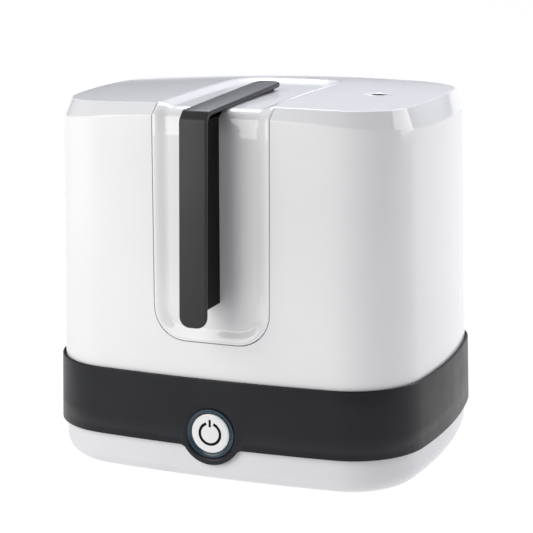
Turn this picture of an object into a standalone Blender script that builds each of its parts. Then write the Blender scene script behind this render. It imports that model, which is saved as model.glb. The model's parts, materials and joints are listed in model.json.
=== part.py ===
"""Electric steam steriliser for baby bottles, built as separate pieces.

A tall hood with a fin handle lifts off a powered base.  Inside stand a small-parts tray, a bottle rack and
a water bowl with a steel heating plate.  X is the width, -Y the front and Z is up.  Lengths are in
millimetres, measured from the centre of the tub's flat underside, and become metres in new_mesh_object.
"""
import math
from collections import namedtuple

import bmesh
import bpy
from mathutils import Matrix, Vector

MM = 0.001
GAP = 0.3                     # clearance kept between neighbouring pieces

Outline = namedtuple("Outline", "half_width half_depth front_radius side_radius corner_radius")

# The body's plan outlines, each made of a front arc, a corner arc and a side arc
TUB = Outline(148.0, 115.0, 1089.0, 420.0, 56.0)
BAND_FOOT = Outline(151.5, 118.2, 1091.0, 422.0, 57.8)
BAND_LIP = Outline(150.0, 117.3, 1091.0, 422.0, 57.8)
HOOD_FOOT = Outline(148.2, 115.3, 1089.0, 420.0, 56.0)
HOOD_SHOULDER = Outline(142.6, 111.2, 1089.0, 420.0, 53.8)
HOOD_CROWN = Outline(136.4, 100.9, 1360.0, 437.0, 43.1)
TRAY_RIM = Outline(126.0, 90.0, 900.0, 380.0, 44.0)
COVER = Outline(80.0, 55.0, 2000.0, 1500.0, 14.0)

# Heights above the tub's underside
FOOT_DROP = 1.5
TUB_TOP = 55.0
TUB_FLOOR = 3.5
BAND_BOTTOM = 29.5
BAND_TOP = 81.0
FLANGE_TOP = 57.8
HOOD_BOTTOM = FLANGE_TOP + GAP
BOWL_FLOOR = 45.0
RACK_PLATE = 60.6
COLUMN_TOP = 225.7
TRAY_BOTTOM = 226.0
TRAY_TOP = 266.0

HOOD_WALL = 2.5
TUB_WALL = 2.5

# Power button, on the band's front face
BUTTON_HEIGHT = 40.3
BUTTON_TRAVEL = 1.0
BEZEL_RADIUS = 18.8
BULGE_RADIUS = 24.0
BULGE_FILLET = 7.0

# Dished panel let into the hood's front and top
PANEL_HALF_WIDTH = 44.6
PANEL_BOTTOM = 108.4
PANEL_REAR = 63.0
PANEL_CORNER = 24.0
PANEL_SEAM = 1.0
PANEL_BACK = 5.3
DISH_DEPTH = 2.9
DISH_RAMP = 11.0

# Handle: a strip along the front and top of a fin
STRIP_WIDTH = 21.0
STRIP_THICKNESS = 4.0
STRIP_EDGE = 1.2
STRIP_CORNER = 8.0
STRIP_PATH = [(-146.8, 127.0), (-140.6, 274.0), (-134.5, 280.3), (7.5, 286.0)]
FIN_WIDTH = 12.5
FIN_BOTTOM = 138.0
HANDLE_SCREW_HEIGHTS = (160.0, 250.0)
TOP_SCREW_Y = -60.0

# Inside
BOTTLE_SPACING_X = 85.0
BOTTLE_SPACING_Y = 96.0
COLUMN_X = 42.5
TRAY_SLOT_SPACING = 24.0
COVER_SCREWS = [(x, y) for x in (-75.0, 75.0) for y in (-25.0, 25.0)]
BOARD_POSTS = [(x, y) for x in (-50.0, 50.0) for y in (-28.0, 28.0)]
FOOT_CENTRES = [(x, y) for x in (-107.0, 107.0) for y in (-76.0, 76.0)]
GLAND_X = 60.0
GLAND_HEIGHT = 23.0
CLAMP_Y = 88.0
SCREW_HOLE = 1.6
SCREW_SHANK = 1.25

# The origin is under the middle of the whole object, handle included
BODY_Y = -(STRIP_PATH[0][0] + BAND_FOOT.half_depth) / 2.0


# ---------------------------------------------------------------- materials and objects

def material(name, colour, roughness, metallic=0.0, transmission=0.0, coat=0.0):
    made = bpy.data.materials.new(name)
    made.use_nodes = True
    shader = made.node_tree.nodes["Principled BSDF"]
    shader.inputs["Base Color"].default_value = (*colour, 1.0)
    shader.inputs["Roughness"].default_value = roughness
    shader.inputs["Metallic"].default_value = metallic
    shader.inputs["Transmission Weight"].default_value = transmission
    shader.inputs["Coat Weight"].default_value = coat
    made.diffuse_color = (*colour, 1.0)
    return made


def new_empty(name, location, parent=None, rotation=(0.0, 0.0, 0.0)):
    empty = bpy.data.objects.new(name, None)
    empty.location = Vector(location) * MM
    empty.rotation_euler = rotation
    empty.parent = parent
    empty.empty_display_size = 0.02
    bpy.context.scene.collection.objects.link(empty)
    return empty


def new_mesh_object(name, bm, parent, slot=None, location=(0.0, 0.0, 0.0), rotation=(0.0, 0.0, 0.0)):
    """Turn a bmesh in millimetres into a named object in metres."""
    bmesh.ops.recalc_face_normals(bm, faces=bm.faces)
    bmesh.ops.scale(bm, vec=(MM, MM, MM), verts=bm.verts)
    mesh = bpy.data.meshes.new(name)
    bm.to_mesh(mesh)
    bm.free()
    mesh.shade_smooth()
    mesh.set_sharp_from_angle(angle=math.radians(32.0))
    made = bpy.data.objects.new(name, mesh)
    made.location = Vector(location) * MM
    made.rotation_euler = rotation
    made.parent = parent
    if slot:
        mesh.materials.append(slot)
    bpy.context.scene.collection.objects.link(made)
    return made


def new_cutter(name, bm, parent, location=(0.0, 0.0, 0.0), rotation=(0.0, 0.0, 0.0)):
    cutter = new_mesh_object(name, bm, parent, None, location, rotation)
    cutter.hide_render = True
    cutter.display_type = "WIRE"
    return cutter


def combine(target, tool, operation="DIFFERENCE"):
    """Cut the tool from the target, or join it on."""
    boolean = target.modifiers.new(tool.name, "BOOLEAN")
    boolean.object = tool
    boolean.operation = operation
    boolean.solver = "EXACT"


# ---------------------------------------------------------------- shapes

def inset(outline, distance):
    return Outline(*(value - distance for value in outline))


def arc(centre_x, centre_y, radius, start, end, steps):
    """Points along an arc, without its last one."""
    angles = [start + (end - start) * step / steps for step in range(steps)]
    return [(centre_x + radius * math.cos(a), centre_y + radius * math.sin(a)) for a in angles]


def plan_points(outline, side_steps=3, corner_steps=5, front_steps=4):
    """The outline anticlockwise from +X: tangent arcs in one quarter, mirrored into the others."""
    side_x = outline.half_width - outline.side_radius
    back_y = outline.half_depth - outline.front_radius
    span = math.hypot(side_x, back_y)
    reach_side = outline.side_radius - outline.corner_radius
    reach_back = outline.front_radius - outline.corner_radius
    along = (reach_side ** 2 - reach_back ** 2 + span ** 2) / (2.0 * span)
    across = math.sqrt(reach_side ** 2 - along ** 2)
    unit_x, unit_y = -side_x / span, back_y / span
    corner_x = side_x + unit_x * along - unit_y * across
    corner_y = unit_y * along + unit_x * across
    side_angle = math.atan2(corner_y, corner_x - side_x)
    back_angle = math.atan2(corner_y - back_y, corner_x)
    quarter = arc(side_x, 0.0, outline.side_radius, 0.0, side_angle, side_steps)
    quarter += arc(corner_x, corner_y, outline.corner_radius, side_angle, back_angle, corner_steps)
    quarter += arc(0.0, back_y, outline.front_radius, back_angle, math.pi / 2.0, front_steps)
    return_leg = quarter[:0:-1]
    half = quarter + [(0.0, outline.half_depth)] + [(-x, y) for x, y in return_leg]
    return half + [(-x, -y) for x, y in half]


def ring(outline, height, scale=1.0):
    """One level of a loft; the height is a number or a function of x and y."""
    points = [(x * scale, y * scale) for x, y in plan_points(outline)]
    if callable(height):
        return [(x, y, height(x, y)) for x, y in points]
    return [(x, y, height) for x, y in points]


def loft(rings, bm=None, closed=False):
    """Join rings of equal length by quads, with a flat cap at each end or with the ends joined."""
    bm = bm or bmesh.new()
    rows = [[bm.verts.new(point) for point in level] for level in rings]
    pairs = list(zip(rows, rows[1:]))
    if closed:
        pairs.append((rows[-1], rows[0]))
    for lower, upper in pairs:
        for here, corner in enumerate(lower):
            there = (here + 1) % len(lower)
            bm.faces.new((corner, lower[there], upper[there], upper[here]))
    if not closed:
        bm.faces.new(rows[0][::-1])
        bm.faces.new(rows[-1])
    return bm


def slab(outline, bottom, top, bm=None):
    return loft([ring(outline, bottom), ring(outline, top)], bm)


def lathe(profile, segments=24, bm=None, centre=(0.0, 0.0, 0.0)):
    """Turn (radius, height) points about Z.  A profile that starts off the axis is closed into a ring."""
    bm = bm or bmesh.new()
    base = Vector(centre)
    rows = []
    for radius, height in profile:
        if radius == 0.0:
            rows.append([bm.verts.new(base + Vector((0.0, 0.0, height)))])
            continue
        turn = [2.0 * math.pi * (step + 0.5) / segments for step in range(segments)]
        rows.append([bm.verts.new(base + Vector((radius * math.cos(a), radius * math.sin(a), height)))
                     for a in turn])
    pairs = list(zip(rows, rows[1:]))
    if profile[0][0] > 0.0:
        pairs.append((rows[-1], rows[0]))
    for first, second in pairs:
        for here in range(segments):
            there = (here + 1) % segments
            corners = [first[here % len(first)], first[there % len(first)],
                       second[there % len(second)], second[here % len(second)]]
            bm.faces.new(list(dict.fromkeys(corners)))
    return bm


def rod(radius, bottom, top, segments=16, bm=None, centre=(0.0, 0.0, 0.0), tip=None):
    """A cylinder, or a cone where the tip's radius differs."""
    tip = radius if tip is None else tip
    return lathe([(0.0, bottom), (radius, bottom), (tip, top), (0.0, top)], segments, bm, centre)


def block(size, centre, bevel=0.0, bm=None):
    bm = bm or bmesh.new()
    matrix = Matrix.Translation(centre) @ Matrix.Diagonal((*size, 1.0))
    made = bmesh.ops.create_cube(bm, size=1.0, matrix=matrix)
    if bevel:
        edges = {edge for vert in made["verts"] for edge in vert.link_edges}
        bmesh.ops.bevel(bm, geom=list(edges), offset=bevel, segments=1, affect="EDGES")
    return bm


def prism(points, direction, start, end):
    """Extrude a flat outline along X, Y or Z; the points use the two other axes in order."""
    bm = bmesh.new()
    axis = "XYZ".index(direction)
    rows = []
    for level in (start, end):
        rows.append([bm.verts.new((*point[:axis], level, *point[axis:])) for point in points])
    for here in range(len(points)):
        there = (here + 1) % len(points)
        bm.faces.new((rows[0][here], rows[0][there], rows[1][there], rows[1][here]))
    bm.faces.new(rows[0][::-1])
    bm.faces.new(rows[1])
    return bm


def tube(points, radius, sides=6):
    """A round wire along a line of points, closed at both ends."""
    path = [Vector(point) for point in points]
    rings = []
    for index, point in enumerate(path):
        ahead = path[min(index + 1, len(path) - 1)]
        behind = path[max(index - 1, 0)]
        along = (ahead - behind).normalized()
        outward = Vector((point.x, point.y, 0.0)).normalized()
        across = along.cross(outward).normalized()
        outward = across.cross(along)
        turn = [2.0 * math.pi * step / sides for step in range(sides)]
        rings.append([point + outward * radius * math.cos(a) + across * radius * math.sin(a) for a in turn])
    return loft(rings)


def screw(name, length, parent, slot, location, rotation=(0.0, 0.0, 0.0), head=3.0, head_height=1.6):
    """A pan-head screw: the head's bearing face is at the origin and the shank runs along +Z."""
    profile = [(0.0, -head_height), (head * 0.8, -head_height), (head, -head_height * 0.5), (head, 0.0),
               (SCREW_SHANK, 0.0), (SCREW_SHANK, length - 1.0), (0.5, length), (0.0, length)]
    return new_mesh_object(name, lathe(profile, 12), parent, slot, location, rotation)


# ---------------------------------------------------------------- the hood's surface

def shoulder_height(x, y):
    """The hood's upper wall edge dips towards the sides."""
    return 272.2 - 10.3 * (x / 150.0) ** 2 + 2.1 * (y / 150.0) ** 2


def crown_height(x, y):
    """The hood's top is slightly crowned."""
    return 282.3 - 3.8 * (x / 150.0) ** 2 - 4.1 * (y / 150.0) ** 2


def front_depth(outline, x):
    """Distance of the outline's front arc from the middle, at x."""
    sag = outline.front_radius - math.sqrt(outline.front_radius ** 2 - x ** 2)
    return outline.half_depth - sag


def front_wall_y(x, height):
    top = shoulder_height(0.0, HOOD_SHOULDER.half_depth)
    share = (height - HOOD_BOTTOM) / (top - HOOD_BOTTOM)
    return -(front_depth(HOOD_FOOT, x) * (1.0 - share) + front_depth(HOOD_SHOULDER, x) * share)


SHOULDER_Y = -HOOD_SHOULDER.half_depth
SHOULDER_Z = shoulder_height(0.0, SHOULDER_Y)
CROWN_Y = -HOOD_CROWN.half_depth
CROWN_Z = crown_height(0.0, CROWN_Y)
FRONT_RUN = SHOULDER_Z - PANEL_BOTTOM
SHOULDER_RUN = math.hypot(CROWN_Y - SHOULDER_Y, CROWN_Z - SHOULDER_Z)
TOP_RUN = PANEL_REAR - CROWN_Y
PANEL_RUN = FRONT_RUN + SHOULDER_RUN + TOP_RUN


def inward(run):
    """Inward direction (y, z) on the panel's path, mitred where two stretches meet."""
    front = Vector((1.0, 0.0))
    shoulder = Vector((CROWN_Z - SHOULDER_Z, SHOULDER_Y - CROWN_Y)).normalized()
    top = Vector((0.0, -1.0))
    if abs(run - FRONT_RUN) < 0.01:
        return (front + shoulder) / (1.0 + front.dot(shoulder))
    if abs(run - FRONT_RUN - SHOULDER_RUN) < 0.01:
        return (shoulder + top) / (1.0 + shoulder.dot(top))
    if run < FRONT_RUN:
        return front
    return shoulder if run < FRONT_RUN + SHOULDER_RUN else top


def panel_point(x, run, depth):
    """A point on or under the hood's surface, by its distance along the panel's path."""
    edge_z = shoulder_height(x, SHOULDER_Y)
    crown_y = -front_depth(HOOD_CROWN, x)
    if run <= FRONT_RUN:
        z = PANEL_BOTTOM + (edge_z - PANEL_BOTTOM) * run / FRONT_RUN
        y = front_wall_y(x, z)
    elif run < FRONT_RUN + SHOULDER_RUN:
        share = (run - FRONT_RUN) / SHOULDER_RUN
        y = front_wall_y(x, edge_z) * (1.0 - share) + crown_y * share
        z = edge_z * (1.0 - share) + crown_height(x, crown_y) * share
    else:
        y = crown_y + (PANEL_REAR - crown_y) * (run - FRONT_RUN - SHOULDER_RUN) / TOP_RUN
        z = crown_height(x, y)
    lean = inward(run)
    return (x, y + lean[0] * depth, z + lean[1] * depth)


def panel_half_width(run, margin):
    """Half width of the panel's outline, narrowing round its end corners."""
    corner = PANEL_CORNER + margin
    from_end = min(run + margin, PANEL_RUN + margin - run)
    width = PANEL_HALF_WIDTH + margin
    if from_end >= corner:
        return width
    return width - corner + math.sqrt(corner ** 2 - (corner - from_end) ** 2)


def dish(x, run):
    """Depth of the panel's face below the hood's surface: flush at its edge, then a ramp to a floor."""
    corner = PANEL_CORNER
    from_end = min(run, PANEL_RUN - run)
    past_x = abs(x) - (PANEL_HALF_WIDTH - corner)
    past_end = corner - from_end
    if past_x > 0.0 and past_end > 0.0:
        edge = corner - math.hypot(past_x, past_end)
    else:
        edge = min(PANEL_HALF_WIDTH - abs(x), from_end)
    share = max(0.0, min(1.0, edge / DISH_RAMP))
    return DISH_DEPTH * share * share * (3.0 - 2.0 * share)


def panel_solid(margin, face, back):
    """A solid that follows the panel's path between a face depth, which may vary, and a back depth."""
    ends = [0.0, 1.5, 4.0, 7.5, 11.0, 17.0, 24.0]
    runs = [end - margin for end in ends]
    runs += [24.0 + (FRONT_RUN - 24.0) * share for share in (0.3, 0.6, 0.93)]
    runs += [FRONT_RUN, FRONT_RUN + SHOULDER_RUN * 0.55, FRONT_RUN + SHOULDER_RUN]
    flat = PANEL_RUN - 24.0 - FRONT_RUN - SHOULDER_RUN
    runs += [FRONT_RUN + SHOULDER_RUN + flat * share for share in (0.06, 0.35, 0.7)]
    runs += [PANEL_RUN + margin - end for end in reversed(ends)]
    bm = bmesh.new()
    sheets = []
    for depth_of in (face, lambda x, run: back):
        sheet = []
        for run in runs:
            width = panel_half_width(run, margin)
            right = [(width - DISH_RAMP) / 3.0] + [width - step for step in (DISH_RAMP, 6.0, 2.5, 0.0)]
            across = [-x for x in reversed(right)] + right
            sheet.append([bm.verts.new(panel_point(x, run, depth_of(x, run))) for x in across])
        sheets.append(sheet)
    front, rear = sheets
    last_row = len(runs) - 1
    last_column = len(front[0]) - 1
    for sheet in sheets:
        for row in range(last_row):
            for column in range(last_column):
                bm.faces.new((sheet[row][column], sheet[row][column + 1],
                              sheet[row + 1][column + 1], sheet[row + 1][column]))
    border = [(0, column) for column in range(last_column)]
    border += [(row, last_column) for row in range(last_row)]
    border += [(last_row, column) for column in range(last_column, 0, -1)]
    border += [(row, 0) for row in range(last_row, 0, -1)]
    for here, there in zip(border, border[1:] + border[:1]):
        bm.faces.new((front[here[0]][here[1]], front[there[0]][there[1]],
                      rear[there[0]][there[1]], rear[here[0]][here[1]]))
    return bm


# ---------------------------------------------------------------- base

def base_taper(height):
    """The band's outer outline at a height."""
    share = (height - BAND_BOTTOM) / (BAND_TOP - BAND_BOTTOM)
    return Outline(*(foot + (lip - foot) * share for foot, lip in zip(BAND_FOOT, BAND_LIP)))


def add_tub(parent, slots):
    """White lower housing with a rounded foot, a bottom opening, clamp bosses and holes for button and cord."""
    round_across, round_up = 22.0, 17.0
    quarter = [math.pi / 2.0 * step / 4 for step in range(5)]
    outer = [ring(inset(TUB, round_across * (1.0 - math.sin(a))), round_up * (1.0 - math.cos(a)))
             for a in quarter]
    lift = round_up - TUB_FLOOR + 1.5
    inner = [ring(inset(TUB, TUB_WALL + round_across * (1.0 - math.sin(a))),
                  TUB_FLOOR + lift * (1.0 - math.cos(a))) for a in reversed(quarter)]
    rims = [ring(TUB, TUB_TOP), ring(inset(TUB, TUB_WALL), TUB_TOP)]
    tub = new_mesh_object("tub", loft(outer + rims + inner), parent, slots["white_shell"])
    bosses = rod(3.0, TUB_FLOOR - 1.0, 9.0, 12, centre=(GLAND_X - 8.0, CLAMP_Y, 0.0))
    rod(3.0, TUB_FLOOR - 1.0, 9.0, 12, bosses, (GLAND_X + 8.0, CLAMP_Y, 0.0))
    combine(tub, new_cutter("clamp_bosses", bosses, parent), "UNION")
    opening = slab(inset(COVER, 10.0), -1.0, TUB_FLOOR + 1.0)
    combine(tub, new_cutter("cut_cover_opening", opening, parent))
    rebate = slab(inset(COVER, -GAP), -1.0, 1.9)
    combine(tub, new_cutter("cut_cover_rebate", rebate, parent))
    pockets = bmesh.new()
    for x, y in FOOT_CENTRES:
        rod(9.3, -1.0, 0.9, 20, pockets, (x, y, 0.0))
    combine(tub, new_cutter("cut_foot_pockets", pockets, parent))
    return tub


def add_feet(parent, slots):
    profile = [(0.0, -FOOT_DROP), (8.2, -FOOT_DROP), (9.0, -0.7), (9.0, 0.6), (0.0, 0.6)]
    for number, (x, y) in enumerate(FOOT_CENTRES, 1):
        new_mesh_object(f"foot_{number}", lathe(profile, 20), parent, slots["rubber"], (x, y, 0.0))


def add_bottom_cover(parent, slots, screw_holes):
    """Flat plate under the tub that carries the control board on four posts."""
    cover = new_mesh_object("bottom_cover", slab(COVER, 0.2, 1.6), parent, slots["dark_inner"])
    posts = bmesh.new()
    holes = bmesh.new()
    for x, y in BOARD_POSTS:
        rod(2.8, 1.0, 9.3, 12, posts, (x, y, 0.0))
        rod(SCREW_HOLE, 4.0, 12.0, 12, holes, (x, y, 0.0))
    combine(cover, new_cutter("board_posts", posts, parent), "UNION")
    board_holes = new_cutter("cut_board_holes", holes, parent)
    combine(cover, board_holes)
    combine(cover, screw_holes)
    for number, (x, y) in enumerate(COVER_SCREWS, 1):
        screw(f"cover_screw_{number}", 14.0, parent, slots["steel"], (x, y, -0.1), head_height=1.1)
    return board_holes


def bulge_points():
    """Lower edge of the band's front: level, then a fillet down into the swelling round the button."""
    drop = BUTTON_HEIGHT - BAND_BOTTOM
    reach = BULGE_RADIUS + BULGE_FILLET
    fillet_y = drop + BULGE_FILLET
    fillet_x = math.sqrt(reach ** 2 - fillet_y ** 2)
    touch = math.atan2(-fillet_y, fillet_x)
    right = arc(0.0, BUTTON_HEIGHT, BULGE_RADIUS, -math.pi / 2.0, touch, 8)
    fillet = arc(fillet_x, BUTTON_HEIGHT - fillet_y, BULGE_FILLET, touch + math.pi, math.pi / 2.0, 4)
    right += fillet + [(fillet_x, BAND_BOTTOM)]
    return [(-x, z) for x, z in right[:0:-1]] + right


def add_band(parent, slots):
    """Dark ring round the tub's upper wall; its thin upper lip surrounds the foot of the hood."""
    start = 10.0
    step = FLANGE_TOP + 0.2
    seat = inset(TUB, -GAP)
    outer = [ring(base_taper(z), z) for z in (start, BAND_BOTTOM, BAND_TOP - 0.6)]
    outer.append(ring(inset(BAND_LIP, 0.6), BAND_TOP))
    inner = [ring(inset(BAND_LIP, 1.6), BAND_TOP), ring(inset(base_taper(step), 1.6), step)]
    inner += [ring(seat, step), ring(seat, start)]
    band = new_mesh_object("band", loft(outer + inner, closed=True), parent, slots["dark_shell"])
    below = [(-170.0, 0.0), (-170.0, BAND_BOTTOM)] + bulge_points() + [(170.0, BAND_BOTTOM), (170.0, 0.0)]
    combine(band, new_cutter("cut_band_front", prism(below, "Y", -130.0, 0.0), parent))
    rear = block((340.0, 131.0, BAND_BOTTOM), (0.0, 64.5, BAND_BOTTOM / 2.0))
    combine(band, new_cutter("cut_band_rear", rear, parent))
    return band


def add_basin(parent, slots, screw_holes):
    """Water bowl with a flange that the hood stands on, an upright rim and four screw bosses below."""
    rings = [ring(inset(TUB, 27.4), BOWL_FLOOR - 2.5), ring(inset(TUB, 21.4), 54.8),
             ring(inset(TUB, 3.0), TUB_TOP + GAP), ring(TUB, TUB_TOP + GAP), ring(TUB, FLANGE_TOP),
             ring(inset(TUB, 3.4), FLANGE_TOP), ring(inset(TUB, 3.4), 66.0), ring(inset(TUB, 5.6), 66.0),
             ring(inset(TUB, 5.6), FLANGE_TOP + 0.4), ring(inset(TUB, 23.0), 57.2),
             ring(inset(TUB, 29.0), BOWL_FLOOR)]
    basin = new_mesh_object("basin", loft(rings), parent, slots["pale_inner"])
    bosses = bmesh.new()
    for x, y in COVER_SCREWS:
        rod(4.0, TUB_FLOOR + GAP, BOWL_FLOOR - 1.5, 14, bosses, (x, y, 0.0))
    combine(basin, new_cutter("basin_bosses", bosses, parent), "UNION")
    combine(basin, new_cutter("cut_plate_hole", rod(40.0, 30.0, 60.0, 40), parent))
    combine(basin, screw_holes)


def add_heater(parent, slots):
    """Steel dish in the bowl's floor with its gasket, retainer, element, thermostat and fuse below."""
    plate = [(0.0, 44.6), (35.5, 44.6), (38.0, 47.6), (46.0, 47.6), (46.0, 46.6), (39.0, 46.6),
             (36.5, 43.6), (0.0, 43.6)]
    new_mesh_object("heating_plate", lathe(plate, 32), parent, slots["steel"])
    gasket = [(40.6, 45.3), (46.0, 45.3), (46.0, 46.3), (40.6, 46.3)]
    new_mesh_object("plate_gasket", lathe(gasket, 28), parent, slots["rubber"])
    retainer = [(38.5, 41.2), (46.0, 41.2), (46.0, 42.2), (38.5, 42.2)]
    new_mesh_object("plate_retainer", lathe(retainer, 28), parent, slots["steel"])
    turns = [math.radians(-60.0 + 300.0 * step / 30) for step in range(31)]
    path = [(26.0 * math.cos(a), 26.0 * math.sin(a), 40.1) for a in turns]
    path = [(path[0][0], path[0][1], 31.0)] + path + [(path[-1][0], path[-1][1], 31.0)]
    new_mesh_object("heating_element", tube(path, 3.0, 8), parent, slots["steel"])
    new_mesh_object("thermostat", rod(9.0, 37.3, 43.2, 20), parent, slots["steel"])
    fuse = rod(2.0, -7.0, 7.0, 10)
    new_mesh_object("thermal_fuse", fuse, parent, slots["pale_inner"], (0.0, 17.0, 41.2),
                    (0.0, math.pi / 2.0, 0.0))


def add_control_board(parent, slots, board_holes):
    board_top = 11.2
    board = block((110.0, 66.0, board_top - 9.6), (0.0, 0.0, 10.4))
    combine(new_mesh_object("control_board", board, parent, slots["circuit_board"]), board_holes)
    relay = block((20.0, 16.0, 14.0), (-28.0, 8.0, board_top + GAP + 7.0), 0.8)
    new_mesh_object("relay", relay, parent, slots["dark_inner"])
    terminal = block((26.0, 9.0, 11.0), (26.0, 22.0, board_top + GAP + 5.5), 0.6)
    new_mesh_object("terminal_block", terminal, parent, slots["pale_inner"])
    capacitor = rod(5.0, board_top + GAP, board_top + 13.0, 16)
    new_mesh_object("capacitor", capacitor, parent, slots["dark_inner"], (12.0, -12.0, 0.0))
    for number, (x, y) in enumerate((BOARD_POSTS[0], BOARD_POSTS[-1]), 1):
        screw(f"board_screw_{number}", 6.0, parent, slots["steel"], (x, y, board_top + GAP),
              (math.pi, 0.0, 0.0), head=2.6)


def add_cord_entry(parent, slots, tub):
    """Rear gland with an empty passage, and the clamp bar behind it."""
    wall_y = front_depth(TUB, GLAND_X)
    place = (GLAND_X, wall_y, GLAND_HEIGHT)
    backwards = (-math.pi / 2.0, 0.0, 0.0)
    profile = [(3.2, 2.2), (6.0, 2.2), (6.0, 0.7), (4.5, 0.7), (4.5, -3.3), (6.5, -3.3), (6.5, -6.5),
               (3.2, -6.5)]
    new_mesh_object("cord_gland", lathe(profile, 20), parent, slots["rubber"], place, backwards)
    combine(tub, new_cutter("cut_gland_hole", rod(4.8, -8.0, 4.0, 20), parent, place, backwards))
    holes = bmesh.new()
    screws = [(GLAND_X - 8.0, CLAMP_Y), (GLAND_X + 8.0, CLAMP_Y)]
    for number, (x, y) in enumerate(screws, 1):
        rod(SCREW_HOLE, 4.5, 14.0, 12, holes, (x, y, 0.0))
        screw(f"clamp_screw_{number}", 7.0, parent, slots["steel"], (x, y, 12.3 + GAP),
              (math.pi, 0.0, 0.0), head=2.6)
    clamp = block((23.0, 6.5, 3.0), (GLAND_X, CLAMP_Y, 10.8), 0.5)
    clamp_holes = new_cutter("cut_clamp_holes", holes, parent)
    combine(new_mesh_object("cord_clamp", clamp, parent, slots["dark_inner"]), clamp_holes)
    combine(tub, clamp_holes)


# ---------------------------------------------------------------- power button

def sector(inner, outer, start, end, bottom, top, steps=14):
    """A flat piece of ring between two angles in degrees."""
    angles = [math.radians(start + (end - start) * step / steps) for step in range(steps + 1)]
    outside = [(outer * math.cos(a), outer * math.sin(a)) for a in angles]
    inside = [(inner * math.cos(a), inner * math.sin(a)) for a in reversed(angles)]
    return prism(outside + inside, "Z", bottom, top)


def add_button(base, axis, pressed, slots, tub, band):
    """Round push button in the band: local +Z points out of the front, with 0 at the band's face."""
    combine(band, new_cutter("cut_bezel_hole", rod(BEZEL_RADIUS, -6.0, 6.0, 32), axis))
    combine(tub, new_cutter("cut_housing_hole", rod(14.0, -8.0, -1.0, 28), axis))
    lamp = [(15.5, -1.8), (18.5, -1.8), (18.5, 0.0), (17.8, 0.5), (16.2, 0.5), (15.5, 0.0)]
    new_mesh_object("light_ring", lathe(lamp, 32), axis, slots["light_guide"])
    cup = [(12.5, -2.1), (17.5, -2.1), (17.5, -2.8), (13.6, -2.8), (13.6, -14.6), (4.2, -14.6),
           (4.2, -13.2), (12.5, -13.2)]
    housing = new_mesh_object("button_housing", lathe(cup, 32), axis, slots["dark_inner"])
    pillars = rod(1.5, -19.8, -14.0, 8, centre=(0.0, 9.5, 0.0))
    rod(1.5, -19.8, -14.0, 8, pillars, (0.0, -9.5, 0.0))
    combine(housing, new_cutter("housing_pillars", pillars, axis), "UNION")
    new_mesh_object("button_board", block((30.0, 22.0, 1.5), (0.0, 0.0, -20.9)), axis,
                    slots["circuit_board"])
    switch = [(0.0, -16.4), (2.4, -16.4), (2.4, -17.2), (4.4, -17.2), (4.4, -19.85), (0.0, -19.85)]
    new_mesh_object("tactile_switch", lathe(switch, 4), axis, slots["dark_inner"])
    for name, x in (("led_left", -10.5), ("led_right", 10.5)):
        new_mesh_object(name, rod(1.6, -19.85, -17.6, 10, tip=1.2), axis, slots["light_guide"], (x, 0.0, 0.0))
    face = 0.8
    cap = [(0.0, face), (12.4, face), (14.2, 0.5), (14.9, -0.2), (14.9, -0.8), (12.0, -0.8), (12.0, -7.0),
           (11.0, -7.0), (11.0, -0.8), (3.4, -0.8), (3.4, -15.2), (0.0, -15.2)]
    button = new_mesh_object("power_button", lathe(cap, 32), pressed, slots["white_shell"])
    gap_angle = 27.0
    open_ring = (90.0 + gap_angle, 450.0 - gap_angle)
    ring_groove = sector(7.4, 9.0, open_ring[0] - 1.0, open_ring[1] + 1.0, face - 0.4, face + 1.0)
    combine(button, new_cutter("cut_icon_ring", ring_groove, pressed))
    bar_groove = block((1.6, 5.8, 2.0), (0.0, 8.0, face + 0.6))
    combine(button, new_cutter("cut_icon_bar", bar_groove, pressed))
    new_mesh_object("icon_ring", sector(7.5, 8.9, *open_ring, face - 0.3, face + 0.05), pressed,
                    slots["dark_shell"])
    new_mesh_object("icon_bar", block((1.4, 5.6, 0.35), (0.0, 8.0, face - 0.125)), pressed,
                    slots["dark_shell"])
    turns, steps = 4, 12
    coil = []
    for step in range(turns * steps + 1):
        angle = 2.0 * math.pi * step / steps
        height = -12.65 + 11.3 * step / (turns * steps)
        coil.append((7.5 * math.cos(angle), 7.5 * math.sin(angle), height))
    new_mesh_object("button_spring", tube(coil, 0.45), axis, slots["steel"])


# ---------------------------------------------------------------- hood and handle

def add_handle_screws(hood, slots):
    """Three screws from inside the hood, and the cutters for their holes."""
    seat = PANEL_BACK + GAP + HOOD_WALL + GAP
    forwards = (math.pi / 2.0, 0.0, 0.0)
    places = [((0.0, front_wall_y(0.0, z) + seat, z), forwards, 22.0) for z in HANDLE_SCREW_HEIGHTS]
    places.append(((0.0, TOP_SCREW_Y, crown_height(0.0, TOP_SCREW_Y) - seat), (0.0, 0.0, 0.0), 8.6))
    cutters = []
    for number, (place, rotation, length) in enumerate(places, 1):
        screw(f"handle_screw_{number}", length, hood, slots["steel"], place, rotation)
        hole = rod(SCREW_HOLE, -4.0, length + 0.4, 10)
        cutters.append(new_cutter(f"cut_handle_screw_{number}", hole, hood, place, rotation))
    return cutters


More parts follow.
